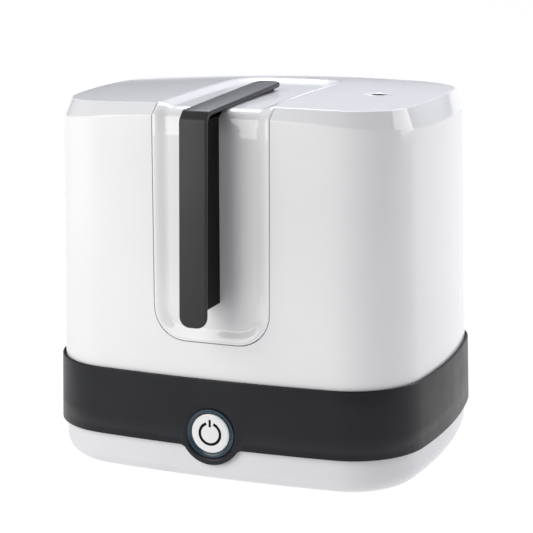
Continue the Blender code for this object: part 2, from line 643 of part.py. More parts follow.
def add_hood_shell(hood, slots, screw_holes):
    """Thin cover with a crowned top; its wall steps inwards behind the panel, and a vent is let in."""
    def dome(trim, thickness, bottom):
        rings = [ring(inset(HOOD_FOOT, trim), bottom)]
        if trim:
            rings.append(ring(inset(HOOD_FOOT, trim), HOOD_BOTTOM))
        rings.append(ring(inset(HOOD_SHOULDER, trim), lambda x, y: shoulder_height(x, y) - thickness * 0.5))
        crown = inset(HOOD_CROWN, trim * 0.65)
        rings += [ring(crown, lambda x, y: crown_height(x, y) - thickness, s) for s in (1.0, 0.7, 0.4, 0.1)]
        return loft(rings)

    shell = new_mesh_object("hood_shell", dome(0.0, 0.0, HOOD_BOTTOM), hood, slots["white_shell"])
    pocket = panel_solid(PANEL_SEAM, lambda x, run: -6.0, PANEL_BACK + GAP)
    combine(shell, new_cutter("cut_panel_pocket", pocket, hood))
    cavity = new_cutter("cut_hood_cavity", dome(HOOD_WALL, HOOD_WALL, HOOD_BOTTOM - 8.0), hood)
    wall = panel_solid(PANEL_SEAM + HOOD_WALL, lambda x, run: -6.0, PANEL_BACK + GAP + HOOD_WALL)
    combine(cavity, new_cutter("pocket_wall", wall, hood))
    combine(shell, cavity)
    vent_top = crown_height(93.5, -10.0)
    vent = [(0.0, vent_top - 6.0), (3.4, vent_top - 6.0), (3.4, vent_top - 1.6), (7.2, vent_top + 0.1),
            (7.2, vent_top + 2.0), (0.0, vent_top + 2.0)]
    combine(shell, new_cutter("cut_vent", lathe(vent, 16), hood, (93.5, -10.0, 0.0)))
    for hole in screw_holes:
        combine(shell, hole)


def strip_stations():
    """Outer face of the handle strip as (y, z, inward direction, half width, thickness)."""
    points = [Vector(point) for point in STRIP_PATH]
    legs = list(zip(points, points[1:]))
    normals = [Vector((b.y - a.y, a.x - b.x)).normalized() for a, b in legs]
    half = STRIP_WIDTH / 2.0
    ends = [(0.0, 0.0), (0.12, 0.45), (0.4, 0.8), (1.0, 1.0)]
    stations = []
    for share, width_share in ends:
        place = points[0] + (points[1] - points[0]).normalized() * STRIP_CORNER * share
        width = half - STRIP_CORNER * (1.0 - width_share)
        stations.append((place, normals[0], width, STRIP_THICKNESS))
    for corner in (1, 2):
        before, after = normals[corner - 1], normals[corner]
        stations.append((points[corner], (before + after) / (1.0 + before.dot(after)), half,
                         STRIP_THICKNESS))
    last = points[2] - points[3]
    floor_start = (CROWN_Y - points[3].x) / last.x
    for share in (floor_start, floor_start * 0.5):
        place = points[3] + last * share
        stations.append((place, normals[2], half, bar_thickness(place)))
    for share, width_share in reversed(ends):
        place = points[3] + last.normalized() * STRIP_CORNER * share
        width = half - STRIP_CORNER * (1.0 - width_share)
        stations.append((place, normals[2], width, bar_thickness(place)))
    return stations


def bar_thickness(place):
    """The strip's top bar reaches down to just above the panel's dished floor."""
    return place.y - (crown_height(0.0, place.x) - DISH_DEPTH + GAP)


def add_handle_strip(hood, slots, screw_hole):
    rings = []
    for place, normal, half, thickness in strip_stations():
        across = [(-half, thickness), (-half, STRIP_EDGE), (-half + STRIP_EDGE, 0.0),
                  (half - STRIP_EDGE, 0.0), (half, STRIP_EDGE), (half, thickness)]
        rings.append([(x, place.x + normal.x * depth, place.y + normal.y * depth) for x, depth in across])
    strip = new_mesh_object("handle_strip", loft(rings), hood, slots["dark_shell"])
    combine(strip, screw_hole)


def add_handle_fin(hood, slots, screw_holes):
    """Upright web between the strip and the panel, which the fingers close round."""
    points = [Vector(point) for point in STRIP_PATH]
    legs = [(b - a).normalized() for a, b in zip(points, points[1:])]
    normals = [Vector((leg.y, -leg.x)) for leg in legs]
    under = STRIP_THICKNESS + GAP
    lower = points[0] + normals[0] * under
    lower += legs[0] * ((FIN_BOTTOM - lower.y) / legs[0].y)
    front = [lower]
    for corner in (1, 2):
        before, after = normals[corner - 1], normals[corner]
        front.append(points[corner] + (before + after) / (1.0 + before.dot(after)) * under)
    top_end = points[2] + normals[2] * under
    front.append(top_end + legs[2] * ((CROWN_Y - 5.0 - top_end.x) / legs[2].x))
    clear = DISH_DEPTH - GAP
    rear_runs = [FRONT_RUN + SHOULDER_RUN * 0.5, FRONT_RUN, FIN_BOTTOM - PANEL_BOTTOM]
    rear = [panel_point(0.0, run, clear)[1:] for run in rear_runs]
    outline = [tuple(point) for point in front] + rear
    fin = new_mesh_object("handle_fin", prism(outline, "X", -FIN_WIDTH / 2.0, FIN_WIDTH / 2.0), hood,
                          slots["dark_shell"])
    for hole in screw_holes:
        combine(fin, hole)


def add_hood(hood, slots):
    screw_holes = add_handle_screws(hood, slots)
    add_hood_shell(hood, slots, screw_holes)
    panel = new_mesh_object("centre_panel", panel_solid(0.0, dish, PANEL_BACK), hood, slots["white_shell"])
    for hole in screw_holes:
        combine(panel, hole)
    add_handle_strip(hood, slots, screw_holes[2])
    add_handle_fin(hood, slots, screw_holes[:2])


# ---------------------------------------------------------------- rack and tray

def bottle_centres():
    return [(x * BOTTLE_SPACING_X, y * BOTTLE_SPACING_Y) for x in (-1, 0, 1) for y in (-0.5, 0.5)]


def add_rack(rack, slots):
    """Slotted platform on four legs, with a peg for each bottle and two columns that carry the tray."""
    plate_top = RACK_PLATE + 2.5
    plate = new_mesh_object("bottle_rack", slab(inset(TUB, 10.0), RACK_PLATE, plate_top), rack,
                            slots["pale_inner"])
    posts = bmesh.new()
    for x in (-COLUMN_X, COLUMN_X):
        rod(6.0, RACK_PLATE + 1.0, COLUMN_TOP, 14, posts, (x, 0.0, 0.0), tip=5.4)
    for x, y in bottle_centres():
        rod(9.0, RACK_PLATE + 1.0, plate_top + 62.0, 14, posts, (x, y, 0.0), tip=5.0)
    for x, y in [(x, y) for x in (-95.0, 95.0) for y in (-98.0, 98.0)]:
        rod(4.0, 58.1, RACK_PLATE + 1.0, 10, posts, (x, y, 0.0))
    combine(plate, new_cutter("rack_posts", posts, rack), "UNION")
    slots_bm = bmesh.new()
    for x, y in bottle_centres():
        for quarter in range(4):
            piece = sector(15.0, 31.0, 90.0 * quarter + 12.0, 90.0 * quarter + 78.0,
                           RACK_PLATE - 1.0, plate_top + 1.0, 3)
            bmesh.ops.translate(piece, verts=piece.verts, vec=(x, y, 0.0))
            add_bmesh(slots_bm, piece)
    combine(plate, new_cutter("cut_rack_slots", slots_bm, rack))


def add_bmesh(target, piece):
    """Copy one bmesh's faces into another."""
    copies = {vert: target.verts.new(vert.co) for vert in piece.verts}
    for face in piece.faces:
        target.faces.new([copies[vert] for vert in face.verts])
    piece.free()


def add_tray(tray, slots):
    """Basket for teats and small parts, with sockets that sit over the rack's columns."""
    floor = inset(TRAY_RIM, 5.0)
    rings = [ring(floor, TRAY_BOTTOM), ring(inset(TRAY_RIM, 1.5), TRAY_TOP - 3.0),
             ring(TRAY_RIM, TRAY_TOP - 3.0), ring(TRAY_RIM, TRAY_TOP), ring(inset(TRAY_RIM, 3.5), TRAY_TOP),
             ring(inset(floor, 2.0), TRAY_BOTTOM + 2.0)]
    basket = new_mesh_object("small_parts_tray", loft(rings), tray, slots["pale_inner"])
    sockets = bmesh.new()
    for x in (-COLUMN_X, COLUMN_X):
        lathe([(6.6, 217.0), (8.8, 217.0), (8.8, TRAY_BOTTOM + 1.0), (6.6, TRAY_BOTTOM + 1.0)], 16, sockets,
              (x, 0.0, 0.0))
    combine(basket, new_cutter("tray_sockets", sockets, tray), "UNION")
    openings = bmesh.new()
    for column in range(-4, 5):
        for side in (-1, 1):
            centre = (column * TRAY_SLOT_SPACING, side * 43.0, TRAY_BOTTOM + 1.0)
            block((6.0, 54.0, 6.0), centre, bm=openings)
    combine(basket, new_cutter("cut_tray_slots", openings, tray))


# ---------------------------------------------------------------- assembly

def make_materials():
    return {
        "white_shell": material("white_shell", (0.86, 0.87, 0.88), 0.18, coat=0.3),
        "dark_shell": material("dark_shell", (0.045, 0.047, 0.052), 0.42),
        "pale_inner": material("pale_inner", (0.72, 0.74, 0.76), 0.45),
        "dark_inner": material("dark_inner", (0.03, 0.03, 0.035), 0.55),
        "light_guide": material("light_guide", (0.16, 0.27, 0.33), 0.3, transmission=0.3),
        "circuit_board": material("circuit_board", (0.03, 0.20, 0.08), 0.5),
        "rubber": material("rubber", (0.02, 0.02, 0.022), 0.8),
        "steel": material("steel", (0.62, 0.63, 0.65), 0.28, metallic=1.0),
    }


def main():
    for old in list(bpy.data.objects):
        bpy.data.objects.remove(old, do_unlink=True)
    slots = make_materials()
    base = new_empty("base_frame", (0.0, BODY_Y, FOOT_DROP))
    face_y = -front_depth(base_taper(BUTTON_HEIGHT), 0.0)
    button_axis = new_empty("button_axis", (0.0, face_y, BUTTON_HEIGHT), base, (math.pi / 2.0, 0.0, 0.0))
    pressed = new_empty("button_press", (0.0, 0.0, 0.0), button_axis)
    rack = new_empty("rack_lift", (0.0, 0.0, 0.0), base)
    tray = new_empty("tray_lift", (0.0, 0.0, 0.0), rack)
    hood = new_empty("hood_lift", (0.0, 0.0, 0.0), tray)

    holes = bmesh.new()
    for x, y in COVER_SCREWS:
        rod(SCREW_HOLE, -2.0, 15.0, 12, holes, (x, y, 0.0))
    cover_holes = new_cutter("cut_cover_screws", holes, base)
    tub = add_tub(base, slots)
    combine(tub, cover_holes)
    band = add_band(base, slots)
    add_feet(base, slots)
    board_holes = add_bottom_cover(base, slots, cover_holes)
    add_control_board(base, slots, board_holes)
    add_basin(base, slots, cover_holes)
    add_heater(base, slots)
    add_cord_entry(base, slots, tub)
    add_button(base, button_axis, pressed, slots, tub, band)
    add_rack(rack, slots)
    add_tray(tray, slots)
    add_hood(hood, slots)


main()
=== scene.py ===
"""Looks for the bottle steriliser: fine outer shells, materials, light and camera round the CAD frame."""

import json
import math
from collections import namedtuple

import bmesh
import bpy
from mathutils import Matrix, Vector


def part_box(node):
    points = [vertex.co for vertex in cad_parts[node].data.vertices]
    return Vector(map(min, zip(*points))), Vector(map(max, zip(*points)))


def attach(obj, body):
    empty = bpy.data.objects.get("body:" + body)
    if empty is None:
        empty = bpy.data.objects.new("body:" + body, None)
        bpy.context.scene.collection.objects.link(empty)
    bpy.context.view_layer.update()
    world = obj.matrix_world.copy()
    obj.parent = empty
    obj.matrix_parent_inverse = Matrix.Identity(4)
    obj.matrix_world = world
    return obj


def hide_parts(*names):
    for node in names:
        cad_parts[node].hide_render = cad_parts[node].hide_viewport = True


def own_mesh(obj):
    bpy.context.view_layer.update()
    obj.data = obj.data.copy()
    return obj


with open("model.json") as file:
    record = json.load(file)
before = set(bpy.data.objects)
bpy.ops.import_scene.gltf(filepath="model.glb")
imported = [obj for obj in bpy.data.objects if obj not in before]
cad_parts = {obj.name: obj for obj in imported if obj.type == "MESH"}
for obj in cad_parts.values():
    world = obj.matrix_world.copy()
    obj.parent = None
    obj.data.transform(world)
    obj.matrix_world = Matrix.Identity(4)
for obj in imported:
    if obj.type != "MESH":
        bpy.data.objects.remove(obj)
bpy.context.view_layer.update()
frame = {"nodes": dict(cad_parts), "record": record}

MM = 0.001
TUB_LOW, TUB_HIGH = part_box("tub")
BODY_Y = (TUB_LOW.y + TUB_HIGH.y) / 2.0
FOOT_DROP = TUB_LOW.z

# Lengths below are in millimetres from the centre of the tub's underside, as in the CAD part.
# An outline in plan has bulging sides and rounded corners.
Outline = namedtuple("Outline", "half_width half_depth front_radius side_radius corner_radius")
TUB = Outline(148.0, 115.0, 1089.0, 420.0, 56.0)
BAND_FOOT = Outline(151.5, 118.2, 1091.0, 422.0, 57.8)
BAND_LIP = Outline(150.0, 117.3, 1091.0, 422.0, 57.8)
HOOD_FOOT = Outline(148.2, 115.3, 1089.0, 420.0, 56.0)
HOOD_SHOULDER = Outline(142.6, 111.2, 1089.0, 420.0, 53.8)
HOOD_CROWN = Outline(136.4, 100.9, 1360.0, 437.0, 43.1)
COVER = Outline(80.0, 55.0, 2000.0, 1500.0, 14.0)

# Base
TUB_TOP = 55.0
TUB_FLOOR = 3.5
TUB_WALL = 2.5
TUB_ROUND_ACROSS = 17.0
TUB_ROUND_UP = 15.5
FOOT_X, FOOT_Y = 107.0, 76.0
FOOT_HOLE = 9.3
GLAND_X, GLAND_Z = 60.0, 23.0
GLAND_HOLE = 4.8
BAND_BOTTOM = 29.5
BAND_TOP = 81.0
BAND_STEP = 58.0
BAND_ROUNDING = 0.7
BUTTON_HEIGHT = 40.3
BUTTON_HOLE = 18.8
BULGE_RADIUS = 24.0
BULGE_FILLET = 7.0

# Hood; a curve is the height in the middle and the rise from there at CURVE_REACH along X and along Y
HOOD_BOTTOM = 58.1
HOOD_WALL = 2.5
CURVE_REACH = 150.0
SHOULDER_CURVE = (272.2, -10.3, 2.1)
CROWN_CURVE = (282.3, -3.8, -4.1)
VENT_X, VENT_Y = 93.5, -10.0

# Opening in the hood for the dished panel, and the panel
HOLE_HALF = 45.6
HOLE_BOTTOM = 107.4
HOLE_REAR = 39.0
HOLE_CORNER = 25.0
SEAM = 0.5
POCKET_DEPTH = 5.6
PANEL_BACK = 5.2
PANEL_EDGE = 0.45
DISH_DEPTH = 2.9
DISH_RAMP = 11.0

# Handle; the path is the strip's face seen from the side, as (y, z)
STRIP_WIDTH = 21.0
STRIP_THICKNESS = 4.0
STRIP_CORNER = 8.0
STRIP_EDGE = 1.4
STRIP_BEND = 5.0
STRIP_PATH = [(-146.8, 127.0), (-140.6, 274.0), (-134.5, 280.3), (7.5, 286.0)]
FIN_WIDTH = 12.5
FIN_BOTTOM = 138.0

# The camera stands this many degrees round from straight in front, towards the object's right
CAMERA_AZIMUTH = 21.49

# Points along each stretch of a quarter outline, from +X round to +Y
SIDE_STEPS = 5
CORNER_STEPS = 6
FRONT_STEPS = 5
HOLE_ARC_STEPS = 8
HOLE_FLAT_STEPS = 4
CORNER_MID = SIDE_STEPS + CORNER_STEPS
LAST = SIDE_STEPS + 2 * CORNER_STEPS + FRONT_STEPS + HOLE_ARC_STEPS + HOLE_FLAT_STEPS
HOLE_EDGE = LAST - HOLE_ARC_STEPS - HOLE_FLAT_STEPS

# Rows of quads up the hood's wall, below and above the end of the opening's rounded foot
LOW_ROWS = 5
HIGH_ROWS = 9

# Rows across the panel bend with its rounded ends and are straight again this far past them
LOWER_BLEND = 40.0
REAR_BLEND = 35.0

# The rows along the top are spaced wider where the hood's front is further out: by its depth over this length
ROW_FAN = 400.0

# A run this close to a bend of the panel's path counts as the bend itself
AT_BEND = 0.01


# ---------------------------------------------------------------- materials

def node(tree, kind, **settings):
    """A new shader or geometry node; each setting is an input socket or a property of it."""
    made = tree.nodes.new(kind)
    for key, value in settings.items():
        if key in made.inputs:
            made.inputs[key].default_value = value
        else:
            setattr(made, key, value)
    return made


def noise(tree, scale, detail=2.0, stretch=(1.0, 1.0, 1.0)):
    """Noise over the object's own coordinates."""
    place = node(tree, "ShaderNodeTexCoord")
    mapping = node(tree, "ShaderNodeMapping")
    mapping.inputs["Scale"].default_value = stretch
    tree.links.new(place.outputs["Object"], mapping.inputs["Vector"])
    made = node(tree, "ShaderNodeTexNoise", Scale=scale, Detail=detail)
    tree.links.new(mapping.outputs["Vector"], made.inputs["Vector"])
    return made.outputs["Fac"]


def ranged(tree, source, low, high):
    """Noise, which stays mostly between a quarter and three quarters, spread over a range."""
    made = node(tree, "ShaderNodeMapRange")
    made.inputs["From Min"].default_value = 0.25
    made.inputs["From Max"].default_value = 0.75
    made.inputs["To Min"].default_value = low
    made.inputs["To Max"].default_value = high
    tree.links.new(source, made.inputs["Value"])
    return made.outputs["Result"]


def tinted(tree, source, dark, light):
    """A colour between two, chosen by a value from 0 to 1."""
    made = node(tree, "ShaderNodeMix", data_type="RGBA")
    made.inputs[6].default_value = (*dark, 1.0)
    made.inputs[7].default_value = (*light, 1.0)
    tree.links.new(source, made.inputs[0])
    return made.outputs[2]


def surface(name, dark, light, rough, grain=0.0, grain_scale=2500.0, mottle_scale=18.0,
            stretch=(1.0, 1.0, 1.0), **shader_values):
    """Principled material with mottled colour, uneven roughness and a fine moulded grain."""
    made = bpy.data.materials.new(name)
    made.use_nodes = True
    tree = made.node_tree
    shader = tree.nodes["Principled BSDF"]
    for key, value in shader_values.items():
        shader.inputs[key.replace("_", " ").title().replace("Ior", "IOR")].default_value = value
    mottle = noise(tree, mottle_scale, 3.0, stretch)
    tree.links.new(tinted(tree, ranged(tree, mottle, 0.0, 1.0), dark, light), shader.inputs["Base Color"])
    smears = noise(tree, mottle_scale * 3.0, 4.0, stretch)
    tree.links.new(ranged(tree, smears, *rough), shader.inputs["Roughness"])
    if grain:
        bump = node(tree, "ShaderNodeBump", Strength=grain, Distance=0.0002)
        tree.links.new(noise(tree, grain_scale, 2.0, stretch), bump.inputs["Height"])
        tree.links.new(bump.outputs["Normal"], shader.inputs["Normal"])
    return made


def make_materials():
    """A finish for each of the record's material slots, and one each for the tub, the band and the web; the
    web's near-black is painted shade on the strip's dark plastic, and the power symbol's print shares it.
    """
    return {
        "white_shell": surface("white_gloss", (0.75, 0.75, 0.765), (0.77, 0.77, 0.78), (0.05, 0.09),
                               0.02, 900.0, ior=1.46),
        "tub_white": surface("tub_white", (0.68, 0.68, 0.705), (0.70, 0.70, 0.725), (0.22, 0.28),
                             0.06, ior=1.25),
        "band_satin": surface("band_satin", (0.0085, 0.009, 0.0115), (0.0125, 0.013, 0.016), (0.34, 0.42),
                              0.10, ior=1.33),
        "dark_shell": surface("handle_satin", (0.033, 0.033, 0.0345), (0.040, 0.040, 0.0415), (0.34, 0.42),
                              0.10, ior=1.29),
        # Near-black for the web: painted shade, darker than the strip's dark_shell plastic it is moulded
        # with; also the real black of the power symbol's print.
        "web_shade_and_print_black": surface("web_shade_and_print_black", (0.003, 0.003, 0.0035), (0.005, 0.005, 0.0055), (0.5, 0.6),
                             0.12, ior=1.2),
        "pale_inner": surface("pale_inner", (0.66, 0.68, 0.70), (0.72, 0.74, 0.76), (0.42, 0.52), 0.12),
        "dark_inner": surface("dark_inner", (0.026, 0.026, 0.030), (0.036, 0.036, 0.040), (0.5, 0.6), 0.15),
        "light_guide": surface("light_guide", (0.018, 0.042, 0.065), (0.028, 0.058, 0.085), (0.22, 0.3),
                               0.03, transmission_weight=0.15),
        "circuit_board": surface("circuit_board", (0.02, 0.16, 0.06), (0.03, 0.22, 0.09), (0.35, 0.5),
                                 0.1, 1200.0, 90.0),
        "rubber": surface("rubber", (0.016, 0.016, 0.018), (0.026, 0.026, 0.028), (0.7, 0.85), 0.3, 1500.0),
        "steel": surface("steel", (0.55, 0.56, 0.58), (0.64, 0.65, 0.67), (0.22, 0.34),
                         0.08, 700.0, 60.0, (1.0, 14.0, 1.0), metallic=1.0),
    }


# ---------------------------------------------------------------- making pieces

def finish_mesh(name, bm, skin, body, stands_for=(), sharp=30.0):
    """Turn a bmesh in millimetres into a piece in the frame's metres, riding on a body."""
    bmesh.ops.recalc_face_normals(bm, faces=bm.faces)
    to_frame = Matrix.Translation((0.0, BODY_Y, FOOT_DROP)) @ Matrix.Diagonal((MM, MM, MM, 1.0))
    bmesh.ops.transform(bm, matrix=to_frame, verts=bm.verts)
    mesh = bpy.data.meshes.new(name)
    bm.to_mesh(mesh)
    bm.free()
    mesh.shade_smooth()
    mesh.set_sharp_from_angle(angle=math.radians(sharp))
    made = bpy.data.objects.new(name, mesh)
    bpy.context.scene.collection.objects.link(made)
    if skin:
        mesh.materials.append(skin)
    if body:
        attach(made, body)
    if stands_for:
        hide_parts(*stands_for)
    return made


def bevel(target, width, segments=3, weighted=False, angle=40.0):
    """Round a piece's edges: those with a bevel weight, or those sharper than an angle."""
    made = target.modifiers.new("soft_edges", "BEVEL")
    made.width = width * MM
    made.segments = segments
    made.limit_method = "WEIGHT" if weighted else "ANGLE"
    made.angle_limit = math.radians(angle)
    made.harden_normals = True
    made.use_clamp_overlap = True
    return made


def bake_modifiers(target):
    """Replace a piece's mesh by what its modifiers make of it."""
    graph = bpy.context.evaluated_depsgraph_get()
    done = bpy.data.meshes.new_from_object(target.evaluated_get(graph))
    old = target.data
    target.modifiers.clear()
    target.data = done
    bpy.data.meshes.remove(old)


def cut(target, bm):
    """Cut a shape out of a piece and keep only the resulting mesh."""
    tool = finish_mesh("tool", bm, None, None)
    boolean = target.modifiers.new("cut", "BOOLEAN")
    boolean.object = tool
    boolean.solver = "EXACT"
    bake_modifiers(target)
    bpy.data.objects.remove(tool, do_unlink=True)


# ---------------------------------------------------------------- outlines and simple solids

def inset(outline, distance):
    """The outline moved in on all sides; a negative distance moves it out."""
    return Outline(*(value - distance for value in outline))


def quarter_turn(steps):
    """Angles from 0 to a right angle, both included."""
    return [math.pi / 2.0 * step / steps for step in range(steps + 1)]


def eased(share):
    """A share from 0 to 1 that starts and ends level."""
    return share * share * (3.0 - 2.0 * share)


def arc(centre_x, centre_y, radius, start, end, steps):
    """Points along an arc, without its last one."""
    angles = [start + (end - start) * step / steps for step in range(steps)]
    return [(centre_x + radius * math.cos(a), centre_y + radius * math.sin(a)) for a in angles]


def hole_end_points(radius):
    """Half of the opening's rounded end, from its side to the middle, as (x, reach past the tangent line)."""
    flat = HOLE_HALF - HOLE_CORNER
    turn = quarter_turn(HOLE_ARC_STEPS)[:-1]
    points = [(flat + radius * math.cos(a), radius * math.sin(a)) for a in turn]
    return points + [(flat * (1.0 - step / HOLE_FLAT_STEPS), radius) for step in range(HOLE_FLAT_STEPS + 1)]


def quarter(outline):
    """The outline from +X round to +Y: side arc, corner arc, then the front arc down to the middle."""
    side_x = outline.half_width - outline.side_radius
    back_y = outline.half_depth - outline.front_radius
    span = math.hypot(side_x, back_y)
    reach_side = outline.side_radius - outline.corner_radius
    reach_back = outline.front_radius - outline.corner_radius
    along = (reach_side ** 2 - reach_back ** 2 + span ** 2) / (2.0 * span)
    across = math.sqrt(reach_side ** 2 - along ** 2)
    unit_x, unit_y = -side_x / span, back_y / span
    corner_x = side_x + unit_x * along - unit_y * across
    corner_y = unit_y * along + unit_x * across
    side_angle = math.atan2(corner_y, corner_x - side_x)
    back_angle = math.atan2(corner_y - back_y, corner_x)
    middle = (side_angle + back_angle) / 2.0
    edge_angle = math.acos(HOLE_HALF / outline.front_radius)
    points = arc(side_x, 0.0, outline.side_radius, 0.0, side_angle, SIDE_STEPS)
    points += arc(corner_x, corner_y, outline.corner_radius, side_angle, middle, CORNER_STEPS)
    points += arc(corner_x, corner_y, outline.corner_radius, middle, back_angle, CORNER_STEPS)
    points += arc(0.0, back_y, outline.front_radius, back_angle, edge_angle, FRONT_STEPS)
    return points + [(x, front_depth(outline, x)) for x, _ in hole_end_points(HOLE_CORNER)]


def front_depth(outline, x):
    """How far the outline's bulging front, or its rear, lies from the middle at x."""
    return outline.half_depth - outline.front_radius + math.sqrt(outline.front_radius ** 2 - x ** 2)


def plan_points(outline):
    """The whole outline anticlockwise from +X."""
    points = quarter(outline)
    half = points + [(-x, y) for x, y in points[-2:0:-1]]
    return half + [(-x, -y) for x, y in half]


def ring(outline, height):
    """The whole outline at a height."""
    return [(x, y, height) for x, y in plan_points(outline)]


def ring_plain(outline, height):
    """A small rounded rectangle with straight sides at a height."""
    radius = outline.corner_radius
    x, y = outline.half_width - radius, outline.half_depth - radius
    points = []
    for centre, start in (((x, y), 0.0), ((-x, y), 90.0), ((-x, -y), 180.0), ((x, -y), 270.0)):
        end = math.radians(start + 90.0)
        points += arc(*centre, radius, math.radians(start), end, 6)
        points.append((centre[0] + radius * math.cos(end), centre[1] + radius * math.sin(end)))
    return [(px, py, height) for px, py in points]


def loft(rings, closed=False, caps=True):
    """Join rings of points one after another; a closed loft joins its last ring to its first."""
    bm = bmesh.new()
    rows = [[bm.verts.new(point) for point in level] for level in rings]
    pairs = list(zip(rows, rows[1:]))
    if closed:
        pairs.append((rows[-1], rows[0]))
    for lower, upper in pairs:
        join_loops(bm, lower, upper)
    if caps and not closed:
        bm.faces.new(rows[0][::-1])
        bm.faces.new(rows[-1])
    return bm


def join_loops(bm, first, second):
    """A band of quads between two closed lines of as many vertices."""
    for here, corner in enumerate(first):
        there = (here + 1) % len(first)
        bm.faces.new((corner, first[there], second[there], second[here]))


def lathe(profile, segments, matrix):
    """Turn (radius, height) points about Z; a profile that starts off the axis is closed into a ring."""
    bm = bmesh.new()
    turn = [2.0 * math.pi * (step + 0.5) / segments for step in range(segments)]
    rows = []
    for radius, height in profile:
        if radius == 0.0:
            rows.append([bm.verts.new(matrix @ Vector((0.0, 0.0, height)))])
        else:
            rows.append([bm.verts.new(matrix @ Vector((radius * math.cos(a), radius * math.sin(a), height)))
                         for a in turn])
    pairs = list(zip(rows, rows[1:]))
    if profile[0][0] > 0.0:
        pairs.append((rows[-1], rows[0]))
    for first, second in pairs:
        for here in range(segments):
            there = (here + 1) % segments
            corners = [first[here % len(first)], first[there % len(first)],
                       second[there % len(second)], second[here % len(second)]]
            bm.faces.new(list(dict.fromkeys(corners)))
    return bm


def prism(points, direction, start, end, matrix=None):
    """Extrude a flat outline along X, Y or Z; the points use the two other axes in order."""
    bm = bmesh.new()
    matrix = matrix or Matrix.Identity(4)
    axis = "XYZ".index(direction)
    rows = []
    for level in (start, end):
        corners = [Vector((*point[:axis], level, *point[axis:])) for point in points]
        rows.append([bm.verts.new(matrix @ corner) for corner in corners])
    join_loops(bm, *rows)
    bm.faces.new(rows[0][::-1])
    bm.faces.new(rows[1])
    return bm


def drill(radius, low, high, segments, matrix):
    """A plain round bar to cut a hole with."""
    return lathe([(0.0, low), (radius, low), (radius, high), (0.0, high)], segments, matrix)


# ---------------------------------------------------------------- the hood's surface

def curved_height(curve, x, y):
    """Height at a place on a gently curved level of the hood."""
    middle, rise_along_x, rise_along_y = curve
    return middle + rise_along_x * (x / CURVE_REACH) ** 2 + rise_along_y * (y / CURVE_REACH) ** 2


def shoulder_height(x, y):
    return curved_height(SHOULDER_CURVE, x, y)


def crown_height(x, y):
    return curved_height(CROWN_CURVE, x, y)


# The panel's path in the middle of the hood: up the front, over the shoulder and back along the top
SHOULDER_Y = -HOOD_SHOULDER.half_depth
SHOULDER_Z = shoulder_height(0.0, SHOULDER_Y)
CROWN_Y = -HOOD_CROWN.half_depth
CROWN_Z = crown_height(0.0, CROWN_Y)
FRONT_RUN = SHOULDER_Z - HOLE_BOTTOM
SHOULDER_RUN = math.hypot(CROWN_Y - SHOULDER_Y, CROWN_Z - SHOULDER_Z)
CROWN_RUN = FRONT_RUN + SHOULDER_RUN


def wall_share(x, y, z):
    """How far up the wall a height lies, from 0 at the foot to 1 at the shoulder."""
    return (z - HOOD_BOTTOM) / (shoulder_height(x, y) - HOOD_BOTTOM)


def mitre(before, after):
    """The way in at a corner, as long as it takes to be one deep on both sides of it."""
    return (before + after) / (1.0 + before.dot(after))


def inward(run):
    """Inward direction (y, z) along the panel's path, mitred where two stretches meet."""
    front = Vector((1.0, 0.0))
    shoulder = Vector((CROWN_Z - SHOULDER_Z, SHOULDER_Y - CROWN_Y)).normalized()
    top = Vector((0.0, -1.0))
    if abs(run - FRONT_RUN) < AT_BEND:
        return mitre(front, shoulder)
    if abs(run - FRONT_RUN - SHOULDER_RUN) < AT_BEND:
        return mitre(shoulder, top)
    if run < FRONT_RUN:
        return front
    return shoulder if run < CROWN_RUN else top


def panel_point(x, run, depth):
    """A point on or under the hood's surface; run is the way up the front, over the shoulder and back."""
    edge_z = shoulder_height(x, SHOULDER_Y)
    crown_y = -front_depth(HOOD_CROWN, x)
    if run <= FRONT_RUN:
        z = HOLE_BOTTOM + (edge_z - HOLE_BOTTOM) * run / FRONT_RUN
        share = wall_share(x, SHOULDER_Y, z)
        y = -front_depth(HOOD_FOOT, x) * (1.0 - share) - front_depth(HOOD_SHOULDER, x) * share
    elif run < CROWN_RUN:
        share = (run - FRONT_RUN) / SHOULDER_RUN
        y = -front_depth(HOOD_SHOULDER, x) * (1.0 - share) + crown_y * share
        z = edge_z * (1.0 - share) + crown_height(x, crown_y) * share
    else:
        fan = (1.0 - crown_y / ROW_FAN) / (1.0 - CROWN_Y / ROW_FAN)
        y = crown_y + (run - CROWN_RUN) * fan
        z = crown_height(x, y)
    lean = inward(run)
    return Vector((x, y + lean[0] * depth, z + lean[1] * depth))


def wall_shares():
    """How far up the wall its rows lie; row LOW_ROWS is where the opening's straight sides start."""
    tangent = wall_share(HOLE_HALF, -front_depth(HOOD_SHOULDER, HOLE_HALF), HOLE_BOTTOM + HOLE_CORNER)
    shares = [tangent * step / LOW_ROWS for step in range(LOW_ROWS + 1)]
    return shares + [tangent + (1.0 - tangent) * step / HIGH_ROWS for step in range(1, HIGH_ROWS + 1)]


def cap_rows():
    """The cap's rows from front to rear as points on its side, and the row where the opening's sides end."""
    crown = quarter(HOOD_CROWN)
    side = [(x, -y) for x, y in crown[CORNER_MID::-1]] + crown[1:CORNER_MID + 1]
    stretch = crown[HOLE_EDGE][1] / crown[CORNER_MID][1]
    rear_row = min(range(len(side)), key=lambda row: abs(side[row][1] * stretch - HOLE_REAR))
    return side, rear_row, side[rear_row][1] * stretch


def hole_end(x):
    """How far the opening's rounded end reaches past its tangent line at x."""
    past = max(0.0, abs(x) - (HOLE_HALF - HOLE_CORNER))
    return math.sqrt(max(0.0, HOLE_CORNER ** 2 - past ** 2))


def ring_index(x_sign, y_sign, step):
    """Place of a quarter's point in the whole outline."""
    whole = 4 * LAST
    if y_sign > 0:
        return step if x_sign > 0 else 2 * LAST - step
    return (2 * LAST + step) if x_sign < 0 else (whole - step) % whole


